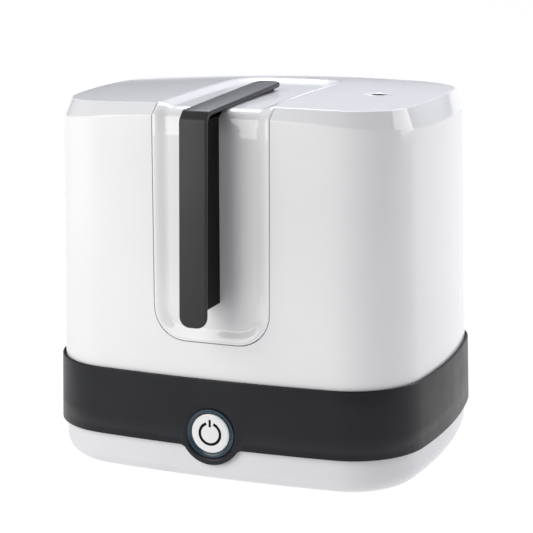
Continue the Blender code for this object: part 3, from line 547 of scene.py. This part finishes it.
def hood_wall(bm, shares):
    """The wall as columns of vertices from the foot to the crown, with gaps where the opening is."""
    wall = []
    for low, high, top in zip(*(plan_points(outline) for outline in (HOOD_FOOT, HOOD_SHOULDER, HOOD_CROWN))):
        inside = high[1] < 0.0 and abs(high[0]) < HOLE_HALF - 0.001
        edge_z = shoulder_height(*high)
        squeeze = 1.0
        if inside:
            squeeze = wall_share(*high, HOLE_BOTTOM + HOLE_CORNER - hole_end(high[0])) / shares[LOW_ROWS]
        rows = []
        for row, share in enumerate(shares):
            share *= squeeze
            x = low[0] + (high[0] - low[0]) * share
            y = low[1] + (high[1] - low[1]) * share
            z = HOOD_BOTTOM + (edge_z - HOOD_BOTTOM) * share
            rows.append(None if inside and row > LOW_ROWS else bm.verts.new((x, y, z)))
        rows.append(None if inside else bm.verts.new((*top, crown_height(*top))))
        wall.append(rows)
    for here, there in zip(wall, wall[1:] + wall[:1]):
        for row in range(len(shares)):
            corners = (here[row], there[row], there[row + 1], here[row + 1])
            if None not in corners:
                bm.faces.new(corners)
    return wall


def hood_cap(bm, wall, side, rear_row, rear_y):
    """The crowned top as a grid whose border is the crown ring, less the panel's opening."""
    crown = quarter(HOOD_CROWN)
    corner_x, corner_y = crown[CORNER_MID]
    centre = LAST - CORNER_MID
    cap = []
    for row, (side_x, side_y) in enumerate(side):
        line = []
        for column in range(2 * centre + 1):
            sign = -1 if column < centre else 1
            step = CORNER_MID + column if column <= centre else 2 * LAST - CORNER_MID - column
            x, depth = crown[step]
            inside = step > HOLE_EDGE
            on_end = row in (0, len(side) - 1)
            if inside and row < rear_row:
                line.append(None)
            elif on_end or column in (0, 2 * centre):
                y_sign = -1 if row < CORNER_MID else 1
                border_step = step if on_end else abs(row - CORNER_MID)
                line.append(wall[ring_index(sign, y_sign, border_step)][-1])
            else:
                y = side_y * depth / corner_y
                if inside:
                    start = rear_y + hole_end(x)
                    y = start + (y - rear_y) * (depth - start) / (depth - rear_y)
                past = max(0.0, (x - HOLE_HALF) / (corner_x - HOLE_HALF))
                x += eased(past) * (side_x - corner_x)
                line.append(bm.verts.new((sign * x, y, crown_height(x, y))))
        cap.append(line)
    for row in range(len(side) - 1):
        for column in range(2 * centre):
            corners = (cap[row][column], cap[row][column + 1], cap[row + 1][column + 1], cap[row + 1][column])
            in_hole = min(column, 2 * centre - 1 - column) >= HOLE_EDGE - CORNER_MID and row < rear_row
            if None not in corners and not in_hole:
                bm.faces.new(corners)
    return cap


def hole_rim(wall, cap, rear_row):
    """The opening's edge: its lower end to the right, right side up, rear end to the left, left side down."""
    first = HOLE_EDGE - CORNER_MID
    last = 2 * (LAST - CORNER_MID) - first
    left_column = ring_index(-1, -1, HOLE_EDGE)
    right_column = ring_index(1, -1, HOLE_EDGE)
    lower = [wall[column][LOW_ROWS] for column in range(left_column, right_column + 1)]
    left = wall[left_column][LOW_ROWS + 1:] + [row[first] for row in cap[1:rear_row]]
    right = wall[right_column][LOW_ROWS + 1:] + [row[last] for row in cap[1:rear_row]]
    rear = cap[rear_row][first:last + 1]
    return lower + right + rear[::-1] + left[::-1]


def row_runs(cap, rear_row, shares):
    """How far along the panel's path each row of the opening's straight sides lies."""
    edge_z = shoulder_height(HOLE_HALF, SHOULDER_Y)
    runs = []
    for share in shares[LOW_ROWS:]:
        z = HOOD_BOTTOM + (edge_z - HOOD_BOTTOM) * share
        runs.append(min((z - HOLE_BOTTOM) * FRONT_RUN / (edge_z - HOLE_BOTTOM), FRONT_RUN))
    runs.append(CROWN_RUN)
    last = 2 * (LAST - CORNER_MID) - (HOLE_EDGE - CORNER_MID)
    edge_depth = front_depth(HOOD_CROWN, HOLE_HALF)
    fan = (1.0 + edge_depth / ROW_FAN) / (1.0 - CROWN_Y / ROW_FAN)
    return runs + [CROWN_RUN + (row[last].co.y + edge_depth) / fan for row in cap[1:rear_row + 1]]


def end_points(offset, runs):
    """The opening's outline moved in by an offset: its lower and rear ends, left to right, as (x, run)."""
    half = hole_end_points(HOLE_CORNER - offset)
    across = [(-x, reach) for x, reach in half] + [(x, reach) for x, reach in half[-2::-1]]
    lower = [(x, runs[0] - reach) for x, reach in across]
    rear = [(x, runs[-1] + reach) for x, reach in across]
    return lower, rear


def panel_loop(bm, offset, depth, runs):
    """One closed line of vertices round the panel, at an offset in from the opening's edge."""
    lower, rear = end_points(offset, runs)
    right = [(HOLE_HALF - offset, run) for run in runs[1:-1]]
    left = [(offset - HOLE_HALF, run) for run in runs[-2:0:-1]]
    return [bm.verts.new(panel_point(x, run, depth)) for x, run in lower + right + rear[::-1] + left]


def fill_panel(bm, loop, offset, depth, runs):
    """Fill a loop with a grid of quads that follows the hood's surface."""
    lower, rear = end_points(offset, runs)
    columns = len(lower)
    rows = len(runs)
    knee = next(row for row, run in enumerate(runs) if run > runs[0] + LOWER_BLEND)
    hip = max(row for row, run in enumerate(runs) if run < runs[-1] - REAR_BLEND)
    grid = [loop[:columns]]
    for row in range(1, rows - 1):
        line = [loop[-row]]
        for column in range(1, columns - 1):
            run = runs[row]
            if row < knee:
                share = (run - runs[0]) / (runs[knee] - runs[0])
                run = lower[column][1] + (runs[knee] - lower[column][1]) * share
            elif row > hip:
                share = (runs[-1] - run) / (runs[-1] - runs[hip])
                run = rear[column][1] - (rear[column][1] - runs[hip]) * share
            line.append(bm.verts.new(panel_point(lower[column][0], run, depth)))
        line.append(loop[columns - 1 + row])
        grid.append(line)
    start = columns + rows - 2
    grid.append(loop[start:start + columns][::-1])
    for below, above in zip(grid, grid[1:]):
        for column in range(columns - 1):
            bm.faces.new((below[column], below[column + 1], above[column + 1], above[column]))


def weigh_edges(bm, rim):
    """Bevel weights: in full along the shoulder and the crown, a little along the opening's edge."""
    rim = set(rim)
    borders = [(plan_points(HOOD_SHOULDER), shoulder_height), (plan_points(HOOD_CROWN), crown_height)]

    def on_border(place, border, height):
        level = abs(place.z - height(place.x, place.y)) < 0.02
        return level and min(math.hypot(place.x - x, place.y - y) for x, y in border) < 0.05

    layer = bm.edges.layers.float.new("bevel_weight_edge")
    for edge in bm.edges:
        if all(vert in rim for vert in edge.verts):
            edge[layer] = 0.35
        elif any(all(on_border(vert.co, *border) for vert in edge.verts) for border in borders):
            edge[layer] = 1.0


def make_hood(skins):
    """The hood with a pocket for the panel and the steam vent; returns the runs of the pocket's rows."""
    bm = bmesh.new()
    shares = wall_shares()
    side, rear_row, rear_y = cap_rows()
    wall = hood_wall(bm, shares)
    cap = hood_cap(bm, wall, side, rear_row, rear_y)
    rim = hole_rim(wall, cap, rear_row)
    runs = row_runs(cap, rear_row, shares)
    pocket = panel_loop(bm, 0.0, POCKET_DEPTH, runs)
    join_loops(bm, rim, pocket)
    fill_panel(bm, pocket, 0.0, POCKET_DEPTH, runs)
    weigh_edges(bm, rim)
    hood = finish_mesh("hood_cover", bm, skins["white_shell"], "hood", ["hood_shell"], 75.0)
    bevel(hood, 1.2, 3, weighted=True)
    thick = hood.modifiers.new("wall", "SOLIDIFY")
    thick.thickness = HOOD_WALL * MM
    thick.offset = -1.0
    thick.use_even_offset = False
    bake_modifiers(hood)
    vent = [(0.0, -7.0), (7.0, -7.0), (7.0, -1.0), (5.6, -0.6), (5.8, -0.3), (7.2, -0.08), (7.6, 0.06),
            (7.8, 2.0), (0.0, 2.0)]
    cut(hood, lathe(vent, 40, Matrix.Translation((VENT_X, VENT_Y, crown_height(VENT_X, VENT_Y)))))
    return runs


def make_panel(skins, runs):
    """The dished insert: a rounded edge flush with the hood, a ramp and a floor."""
    bm = bmesh.new()
    edge = [(0.0, PANEL_EDGE), (0.13, 0.13), (PANEL_EDGE, 0.0)]
    ramp = [(PANEL_EDGE + DISH_RAMP * step / 8, DISH_DEPTH * eased(step / 8)) for step in range(1, 9)]
    back = panel_loop(bm, SEAM, PANEL_BACK, runs)
    before = back
    for offset, depth in edge + ramp:
        loop = panel_loop(bm, SEAM + offset, depth, runs)
        join_loops(bm, before, loop)
        before = loop
    fill_panel(bm, before, SEAM + PANEL_EDGE + DISH_RAMP, DISH_DEPTH, runs)
    fill_panel(bm, back, SEAM, PANEL_BACK, runs)
    finish_mesh("hood_panel", bm, skins["white_shell"], "hood", ["centre_panel"], 80.0)


# ---------------------------------------------------------------- handle

def strip_legs():
    """The corners of the strip's side view, its three straight legs and the way in from each."""
    points = [Vector(point) for point in STRIP_PATH]
    legs = [(b - a).normalized() for a, b in zip(points, points[1:])]
    return points, legs, [Vector((leg.y, -leg.x)) for leg in legs]


def strip_stations(inside):
    """Places along the strip's face, each with the way in from it and half the width there.

    The outline is moved in from the strip's edges by the given distance."""
    points, legs, normals = strip_legs()
    half = STRIP_WIDTH / 2.0 - inside
    corner = STRIP_CORNER - inside
    ends = [(inside + corner * (1.0 - math.cos(a)), half - corner * (1.0 - math.sin(a)))
            for a in quarter_turn(7)]
    stations = [(points[0] + legs[0] * reach, normals[0], width) for reach, width in ends]
    for bend in (1, 2):
        before, after = normals[bend - 1], normals[bend]
        tangent = STRIP_BEND * math.tan(before.angle(after) / 2.0)
        centre = points[bend] - legs[bend - 1] * tangent + before * STRIP_BEND
        turned = [before.slerp(after, step / 3) for step in range(4)]
        stations += [(centre - normal * STRIP_BEND, normal, half) for normal in turned]
    stations += [(points[3] - legs[2] * reach, normals[2], width) for reach, width in reversed(ends)]
    return stations


def make_strip(skins):
    """The dark strip, rounded along every edge, over its bends and at both ends."""
    levels = [(STRIP_EDGE * (1.0 - math.sin(a)), STRIP_EDGE * (1.0 - math.cos(a))) for a in quarter_turn(4)]
    levels += [(inside, STRIP_THICKNESS - depth) for inside, depth in reversed(levels)]
    loops = []
    for inside, depth in levels:
        side = [(half, place + normal * depth) for place, normal, half in strip_stations(inside)]
        loops.append([(x, *point) for x, point in side] + [(-x, *point) for x, point in reversed(side)])
    bm = loft(loops, caps=False)
    bm.verts.ensure_lookup_table()
    count = len(loops[0])
    for face in (bm.verts[:count], bm.verts[-count:]):
        for here in range(count // 2 - 1):
            bm.faces.new((face[here], face[here + 1], face[-2 - here], face[-1 - here]))
    finish_mesh("handle_bar", bm, skins["dark_shell"], "hood", ["handle_strip"])


def make_web(skins):
    """The upright web between the strip and the floor of the dished panel, in a near-black that paints the
    shade falling on it.
    """
    points, legs, normals = strip_legs()
    under = STRIP_THICKNESS + 0.1
    lower = points[0] + normals[0] * under
    lower += legs[0] * ((FIN_BOTTOM - lower.y) / legs[0].y)
    front = [lower]
    front += [points[bend] + mitre(normals[bend - 1], normals[bend]) * under for bend in (1, 2)]
    front.append(points[3] - legs[2] * 5.0 + normals[2] * under)
    rear_runs = [CROWN_RUN + reach for reach in (100.0, 66.0, 33.0, AT_BEND)]
    rear_runs += [CROWN_RUN - AT_BEND, FRONT_RUN, FIN_BOTTOM - HOLE_BOTTOM]
    rear = [panel_point(0.0, run, DISH_DEPTH - 0.1)[1:] for run in rear_runs]
    outline = [tuple(point) for point in front + rear]
    bm = prism(outline, "X", -FIN_WIDTH / 2.0, FIN_WIDTH / 2.0)
    # The web's near-black finish is painted shade, not a colour of its own: it is the strip's dark plastic.
    web = finish_mesh("handle_web", bm, skins["web_shade_and_print_black"], "hood", ["handle_fin"])
    bevel(web, 0.6, 2, angle=25.0)


# ---------------------------------------------------------------- base

def band_outline(height):
    """The band leans in a little from its lower edge to its lip."""
    share = (height - BAND_BOTTOM) / (BAND_TOP - BAND_BOTTOM)
    return Outline(*(foot + (lip - foot) * share for foot, lip in zip(BAND_FOOT, BAND_LIP)))


def bulge_points():
    """Lower edge of the band's front: level, then a fillet down into the swelling round the button."""
    drop = BUTTON_HEIGHT - BAND_BOTTOM
    reach = BULGE_RADIUS + BULGE_FILLET
    fillet_y = drop + BULGE_FILLET
    fillet_x = math.sqrt(reach ** 2 - fillet_y ** 2)
    touch = math.atan2(-fillet_y, fillet_x)
    right = arc(0.0, BUTTON_HEIGHT, BULGE_RADIUS, -math.pi / 2.0, touch, 18)
    right += arc(fillet_x, BUTTON_HEIGHT - fillet_y, BULGE_FILLET, touch + math.pi, math.pi / 2.0, 8)
    right.append((fillet_x, BAND_BOTTOM))
    return [(-x, z) for x, z in right[:0:-1]] + right


def button_matrix():
    """Turns Z to point out of the band's front at the button's centre."""
    face_y = -front_depth(band_outline(BUTTON_HEIGHT), 0.0)
    return Matrix.Translation((0.0, face_y, BUTTON_HEIGHT)) @ Matrix.Rotation(math.pi / 2.0, 4, "X")


def make_band(skins):
    """The dark band: deep enough to cut the swelling and the level rear edge out of its lower side."""
    start = 10.0
    clear = 170.0
    outer = [ring(band_outline(z), z) for z in (start, BAND_BOTTOM, 46.0, 63.0)]
    for a in quarter_turn(4):
        lip = inset(BAND_LIP, BAND_ROUNDING * (1.0 - math.cos(a)))
        outer.append(ring(lip, BAND_TOP - BAND_ROUNDING * (1.0 - math.sin(a))))
    inner = [ring(inset(BAND_LIP, 1.5), BAND_TOP), ring(inset(BAND_LIP, 1.6), BAND_TOP - 0.3),
             ring(inset(band_outline(BAND_STEP), 1.6), BAND_STEP)]
    seat = inset(TUB, -0.3)
    inner += [ring(seat, BAND_STEP), ring(seat, start)]
    bm = loft(outer + inner, closed=True)
    band = finish_mesh("base_band", bm, skins["band_satin"], "base", ["band"])
    below = [(-clear, 0.0), (-clear, BAND_BOTTOM)] + bulge_points() + [(clear, BAND_BOTTOM), (clear, 0.0)]
    cut(band, prism(below, "Y", -130.0, 0.0))
    rear = [(-clear, 0.0), (-clear, BAND_BOTTOM), (clear, BAND_BOTTOM), (clear, 0.0)]
    cut(band, prism(rear, "Y", -0.5, 130.0))
    hole = [(0.0, -6.0), (BUTTON_HOLE, -6.0), (BUTTON_HOLE, -0.5), (BUTTON_HOLE + 0.5, 0.05),
            (BUTTON_HOLE + 0.5, 6.0), (0.0, 6.0)]
    cut(band, lathe(hole, 72, button_matrix()))


def make_tub(skins):
    """The white lower housing, with a rounded underside and holes for what passes through it."""
    turn = quarter_turn(12)
    outer = [ring(inset(TUB, TUB_ROUND_ACROSS * (1.0 - math.sin(a))), TUB_ROUND_UP * (1.0 - math.cos(a)))
             for a in turn]
    lift = TUB_ROUND_UP - TUB_FLOOR + 1.5
    inner = [ring(inset(TUB, TUB_WALL + TUB_ROUND_ACROSS * (1.0 - math.sin(a))),
                  TUB_FLOOR + lift * (1.0 - math.cos(a))) for a in reversed(turn)]
    rims = [ring(TUB, TUB_TOP), ring(inset(TUB, TUB_WALL), TUB_TOP)]
    bm = loft(outer + rims + inner)
    tub = finish_mesh("base_tub", bm, skins["tub_white"], "base", ["tub"])
    cut(tub, loft([ring_plain(inset(COVER, 10.0), z) for z in (-1.0, TUB_FLOOR + 1.0)]))
    cut(tub, loft([ring_plain(inset(COVER, -0.3), z) for z in (-1.0, 1.9)]))
    for x in (-FOOT_X, FOOT_X):
        for y in (-FOOT_Y, FOOT_Y):
            cut(tub, drill(FOOT_HOLE, -1.0, 0.9, 36, Matrix.Translation((x, y, 0.0))))
    cut(tub, drill(14.0, -8.0, -1.0, 48, button_matrix()))
    gland = Matrix.Translation((GLAND_X, front_depth(TUB, GLAND_X), GLAND_Z))
    cut(tub, drill(GLAND_HOLE, -8.0, 4.0, 36, gland @ Matrix.Rotation(-math.pi / 2.0, 4, "X")))


def make_lamp_ring(skins):
    """The light guide round the button, with a raised rim and a slope down to the cap."""
    profile = [(15.6, -1.8), (18.5, -1.8), (18.5, 0.1), (18.3, 0.4), (17.9, 0.5), (17.5, 0.4), (17.1, 0.0),
               (16.5, -0.5), (15.6, -0.7)]
    bm = lathe(profile, 96, button_matrix())
    finish_mesh("glow_ring", bm, skins["light_guide"], "base", ["light_ring"])


def make_cap(skins):
    """The push cap: a gently crowned face, a skirt for the spring and a stem that reaches the switch."""
    profile = [(0.0, 0.8), (12.0, 0.8), (13.4, 0.66), (14.4, 0.3), (14.9, -0.3), (14.9, -0.8), (12.0, -0.8),
               (12.0, -7.0), (11.0, -7.0), (11.0, -0.8), (3.4, -0.8), (3.4, -15.2), (0.0, -15.2)]
    bm = lathe(profile, 96, button_matrix())
    finish_mesh("push_cap", bm, skins["white_shell"], "button", ["power_button"])


def make_marks(skins):
    """The power symbol on the cap: a ring with a gap at its top, and a bar that stands in the gap."""
    start, end = math.radians(110.0), math.radians(430.0)
    angles = [start + (end - start) * step / 60 for step in range(61)]
    outline = [(9.1 * math.cos(a), 9.1 * math.sin(a)) for a in angles]
    outline += [(7.0 * math.cos(a), 7.0 * math.sin(a)) for a in reversed(angles)]
    bar = [(-0.9, 5.2), (0.9, 5.2), (0.9, 10.8), (-0.9, 10.8)]
    for name, points, stands_for in (("mark_ring", outline, "icon_ring"), ("mark_bar", bar, "icon_bar")):
        bm = prism(points, "Z", 0.5, 0.88, button_matrix())
        mark = finish_mesh(name, bm, skins["web_shade_and_print_black"], "button", [stands_for])
        bevel(mark, 0.06, 1)


def make_spring(skins):
    """The coil behind the cap, from its inner end on the housing to its outer end under the cap; it rides on
    the housing.
    """
    coil_radius, wire, turns, steps, sides = 7.5, 0.45, 4, 36, 10
    inner_end, outer_end = -12.65, -1.35
    place = button_matrix()
    section = [2.0 * math.pi * side / sides for side in range(sides)]
    rings = []
    for step in range(turns * steps + 1):
        angle = 2.0 * math.pi * step / steps
        height = inner_end + (outer_end - inner_end) * step / (turns * steps)
        reach = [(coil_radius + wire * math.cos(a), height + wire * math.sin(a)) for a in section]
        rings.append([place @ Vector((r * math.cos(angle), r * math.sin(angle), z)) for r, z in reach])
    spring = finish_mesh("cap_spring", loft(rings), skins["steel"], "base", ["button_spring"])
    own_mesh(spring)


# ---------------------------------------------------------------- CAD nodes that stay

def smooth_shading(limit=35.0):
    """Node tree that joins a part's facets and shades them smooth, except over edges past the limit."""
    tree = bpy.data.node_groups.new("smooth_shading", "GeometryNodeTree")
    for way in ("INPUT", "OUTPUT"):
        tree.interface.new_socket("Geometry", in_out=way, socket_type="NodeSocketGeometry")
    joined = node(tree, "GeometryNodeMergeByDistance", Distance=0.01 * MM)
    plain_normals = node(tree, "GeometryNodeRemoveAttribute", Name="custom_normal")
    smooth_faces = node(tree, "GeometryNodeSetShadeSmooth", domain="FACE")
    angle = node(tree, "GeometryNodeInputMeshEdgeAngle")
    over = node(tree, "ShaderNodeMath", operation="GREATER_THAN")
    over.inputs[1].default_value = math.radians(limit)
    sharp_edges = node(tree, "GeometryNodeSetShadeSmooth", domain="EDGE")
    sharp_edges.inputs["Shade Smooth"].default_value = False
    tree.links.new(angle.outputs["Unsigned Angle"], over.inputs[0])
    tree.links.new(over.outputs[0], sharp_edges.inputs["Selection"])
    chain = [node(tree, "NodeGroupInput"), joined, plain_normals, smooth_faces, sharp_edges,
             node(tree, "NodeGroupOutput")]
    for before, after in zip(chain, chain[1:]):
        tree.links.new(before.outputs[0], after.inputs[0])
    return tree


def dress_cad_nodes(skins):
    """Give every CAD node the finish of its material slot, and smooth shading."""
    slots = {row["node"]: row["material_slot"] for row in frame["record"]["subparts"]}
    tree = smooth_shading()
    for name, carried in frame["nodes"].items():
        carried.data.materials.clear()
        carried.data.materials.append(skins[slots[name]])
        carried.modifiers.new("smooth_shading", "NODES").node_group = tree


# ---------------------------------------------------------------- stage, in metres

def glowing(name, grey, strength):
    """A dull sheet that gives off light of its own, as a lit studio sweep does."""
    made = bpy.data.materials.new(name)
    made.use_nodes = True
    shader = made.node_tree.nodes["Principled BSDF"]
    shader.inputs["Base Color"].default_value = (grey, grey, grey, 1.0)
    shader.inputs["Roughness"].default_value = 0.9
    shader.inputs["Specular IOR Level"].default_value = 0.0
    shader.inputs["Emission Color"].default_value = (1.0, 1.0, 1.0, 1.0)
    shader.inputs["Emission Strength"].default_value = strength
    return made


def turned_to(centre, target, axis):
    """The rotation that points an object's axis from its centre at a target."""
    return (Vector(target) - Vector(centre)).to_track_quat(axis, "Y")


def card(name, centre, size, facing, skin):
    """A flat rectangle that faces a point; it belongs to the stage."""
    mesh = bpy.data.meshes.new(name)
    w, h = size[0] / 2.0, size[1] / 2.0
    mesh.from_pydata([(-w, -h, 0.0), (w, -h, 0.0), (w, h, 0.0), (-w, h, 0.0)], [], [(0, 1, 2, 3)])
    made = bpy.data.objects.new(name, mesh)
    made.location = centre
    made.rotation_mode = "QUATERNION"
    made.rotation_quaternion = turned_to(centre, facing, "Z")
    mesh.materials.append(skin)
    bpy.context.scene.collection.objects.link(made)
    return made


def area_light(name, centre, size, power, colour=(1.0, 1.0, 1.0)):
    """A rectangular light that faces the object's middle."""
    light = bpy.data.lights.new(name, "AREA")
    light.shape = "RECTANGLE"
    light.size, light.size_y = size
    light.energy = power
    light.color = colour
    made = bpy.data.objects.new(name, light)
    made.location = centre
    made.rotation_mode = "QUATERNION"
    made.rotation_quaternion = turned_to(centre, (0.0, 0.0, 0.2), "-Z")
    bpy.context.scene.collection.objects.link(made)


def softbox(name, azimuth, distance, height, size, radiance, colour=(1.0, 1.0, 1.0)):
    """An upright softbox; the azimuth turns from straight in front of the object towards its right."""
    turn = math.radians(azimuth)
    centre = (distance * math.sin(turn), -distance * math.cos(turn), height)
    area_light(name, centre, size, radiance * math.pi * size[0] * size[1], colour)


def make_floor():
    """A pale floor, square to the line of sight, whose light falls off smoothly towards the camera."""
    near_glow, far_glow = 0.38, 0.98
    skin = glowing("floor_white", 0.04, far_glow)
    tree = skin.node_tree
    place = node(tree, "ShaderNodeTexCoord")
    parts = node(tree, "ShaderNodeSeparateXYZ")
    fall = node(tree, "ShaderNodeMapRange", interpolation_type="SMOOTHSTEP")
    for key, value in (("From Min", -1.35), ("From Max", -0.3), ("To Min", near_glow), ("To Max", far_glow)):
        fall.inputs[key].default_value = value
    tree.links.new(place.outputs["Object"], parts.inputs[0])
    tree.links.new(parts.outputs["Y"], fall.inputs["Value"])
    tree.links.new(fall.outputs["Result"], tree.nodes["Principled BSDF"].inputs["Emission Strength"])
    floor = card("floor", (0.0, 0.0, 0.0), (80.0, 80.0), (0.0, 0.0, 1.0), skin)
    floor.rotation_mode = "XYZ"
    floor.rotation_euler = (0.0, 0.0, math.radians(CAMERA_AZIMUTH))


def make_world():
    """Dim, slightly cool light from all round."""
    world = bpy.data.worlds.new("studio")
    world.use_nodes = True
    world.node_tree.nodes["Background"].inputs["Color"].default_value = (0.9, 0.9, 1.0, 1.0)
    world.node_tree.nodes["Background"].inputs["Strength"].default_value = 0.12
    bpy.context.scene.world = world


def make_stage():
    """A pale floor, a low backdrop, two softboxes and a fill, and light from above and behind."""
    cool = (0.92, 0.94, 1.0)
    make_floor()
    card("backdrop", (-0.8, 2.05, 0.19), (6.0, 0.38), (0.0, 0.0, 0.19), glowing("backdrop_white", 0.15, 0.9))
    make_world()
    softbox("key_left", -28.0, 0.9, 0.57, (0.75, 0.8), 4.05, (1.0, 1.0, 0.98))
    softbox("key_right", 116.0, 1.2, 0.52, (0.7, 0.8), 3.5)
    softbox("fill_right", 70.0, 1.2, 0.75, (0.9, 1.0), 0.3, (0.96, 0.97, 1.0))
    area_light("overhead", (0.0, 0.8, 1.25), (1.3, 0.8), 26.5, cool)
    area_light("backdrop_glow", (0.15, 1.9, 0.95), (2.2, 1.1), 2.2, cool)


def make_camera():
    """A long lens from the front, a little to the object's right and above it."""
    azimuth, elevation, roll = math.radians(CAMERA_AZIMUTH), math.radians(12.68), -0.0082
    target = Vector((-0.0011, BODY_Y, 0.1408 + FOOT_DROP))
    distance = 1.3037
    forward = Vector((-math.sin(azimuth) * math.cos(elevation), math.cos(azimuth) * math.cos(elevation),
                      -math.sin(elevation)))
    lens = bpy.data.cameras.new("camera")
    lens.sensor_width = 36.0
    lens.lens = 112.2
    lens.clip_start = 0.05
    camera = bpy.data.objects.new("camera", lens)
    camera.matrix_world = (Matrix.Translation(target - forward * distance)
                           @ forward.to_track_quat("-Z", "Y").to_matrix().to_4x4()
                           @ Matrix.Rotation(roll, 4, "Z"))
    bpy.context.scene.collection.objects.link(camera)
    bpy.context.scene.camera = camera


def main():
    skins = make_materials()
    dress_cad_nodes(skins)
    runs = make_hood(skins)
    make_panel(skins, runs)
    make_strip(skins)
    make_web(skins)
    make_band(skins)
    make_tub(skins)
    make_lamp_ring(skins)
    make_cap(skins)
    make_marks(skins)
    make_spring(skins)
    make_stage()
    make_camera()
    bpy.context.scene.view_settings.view_transform = "Standard"


main()
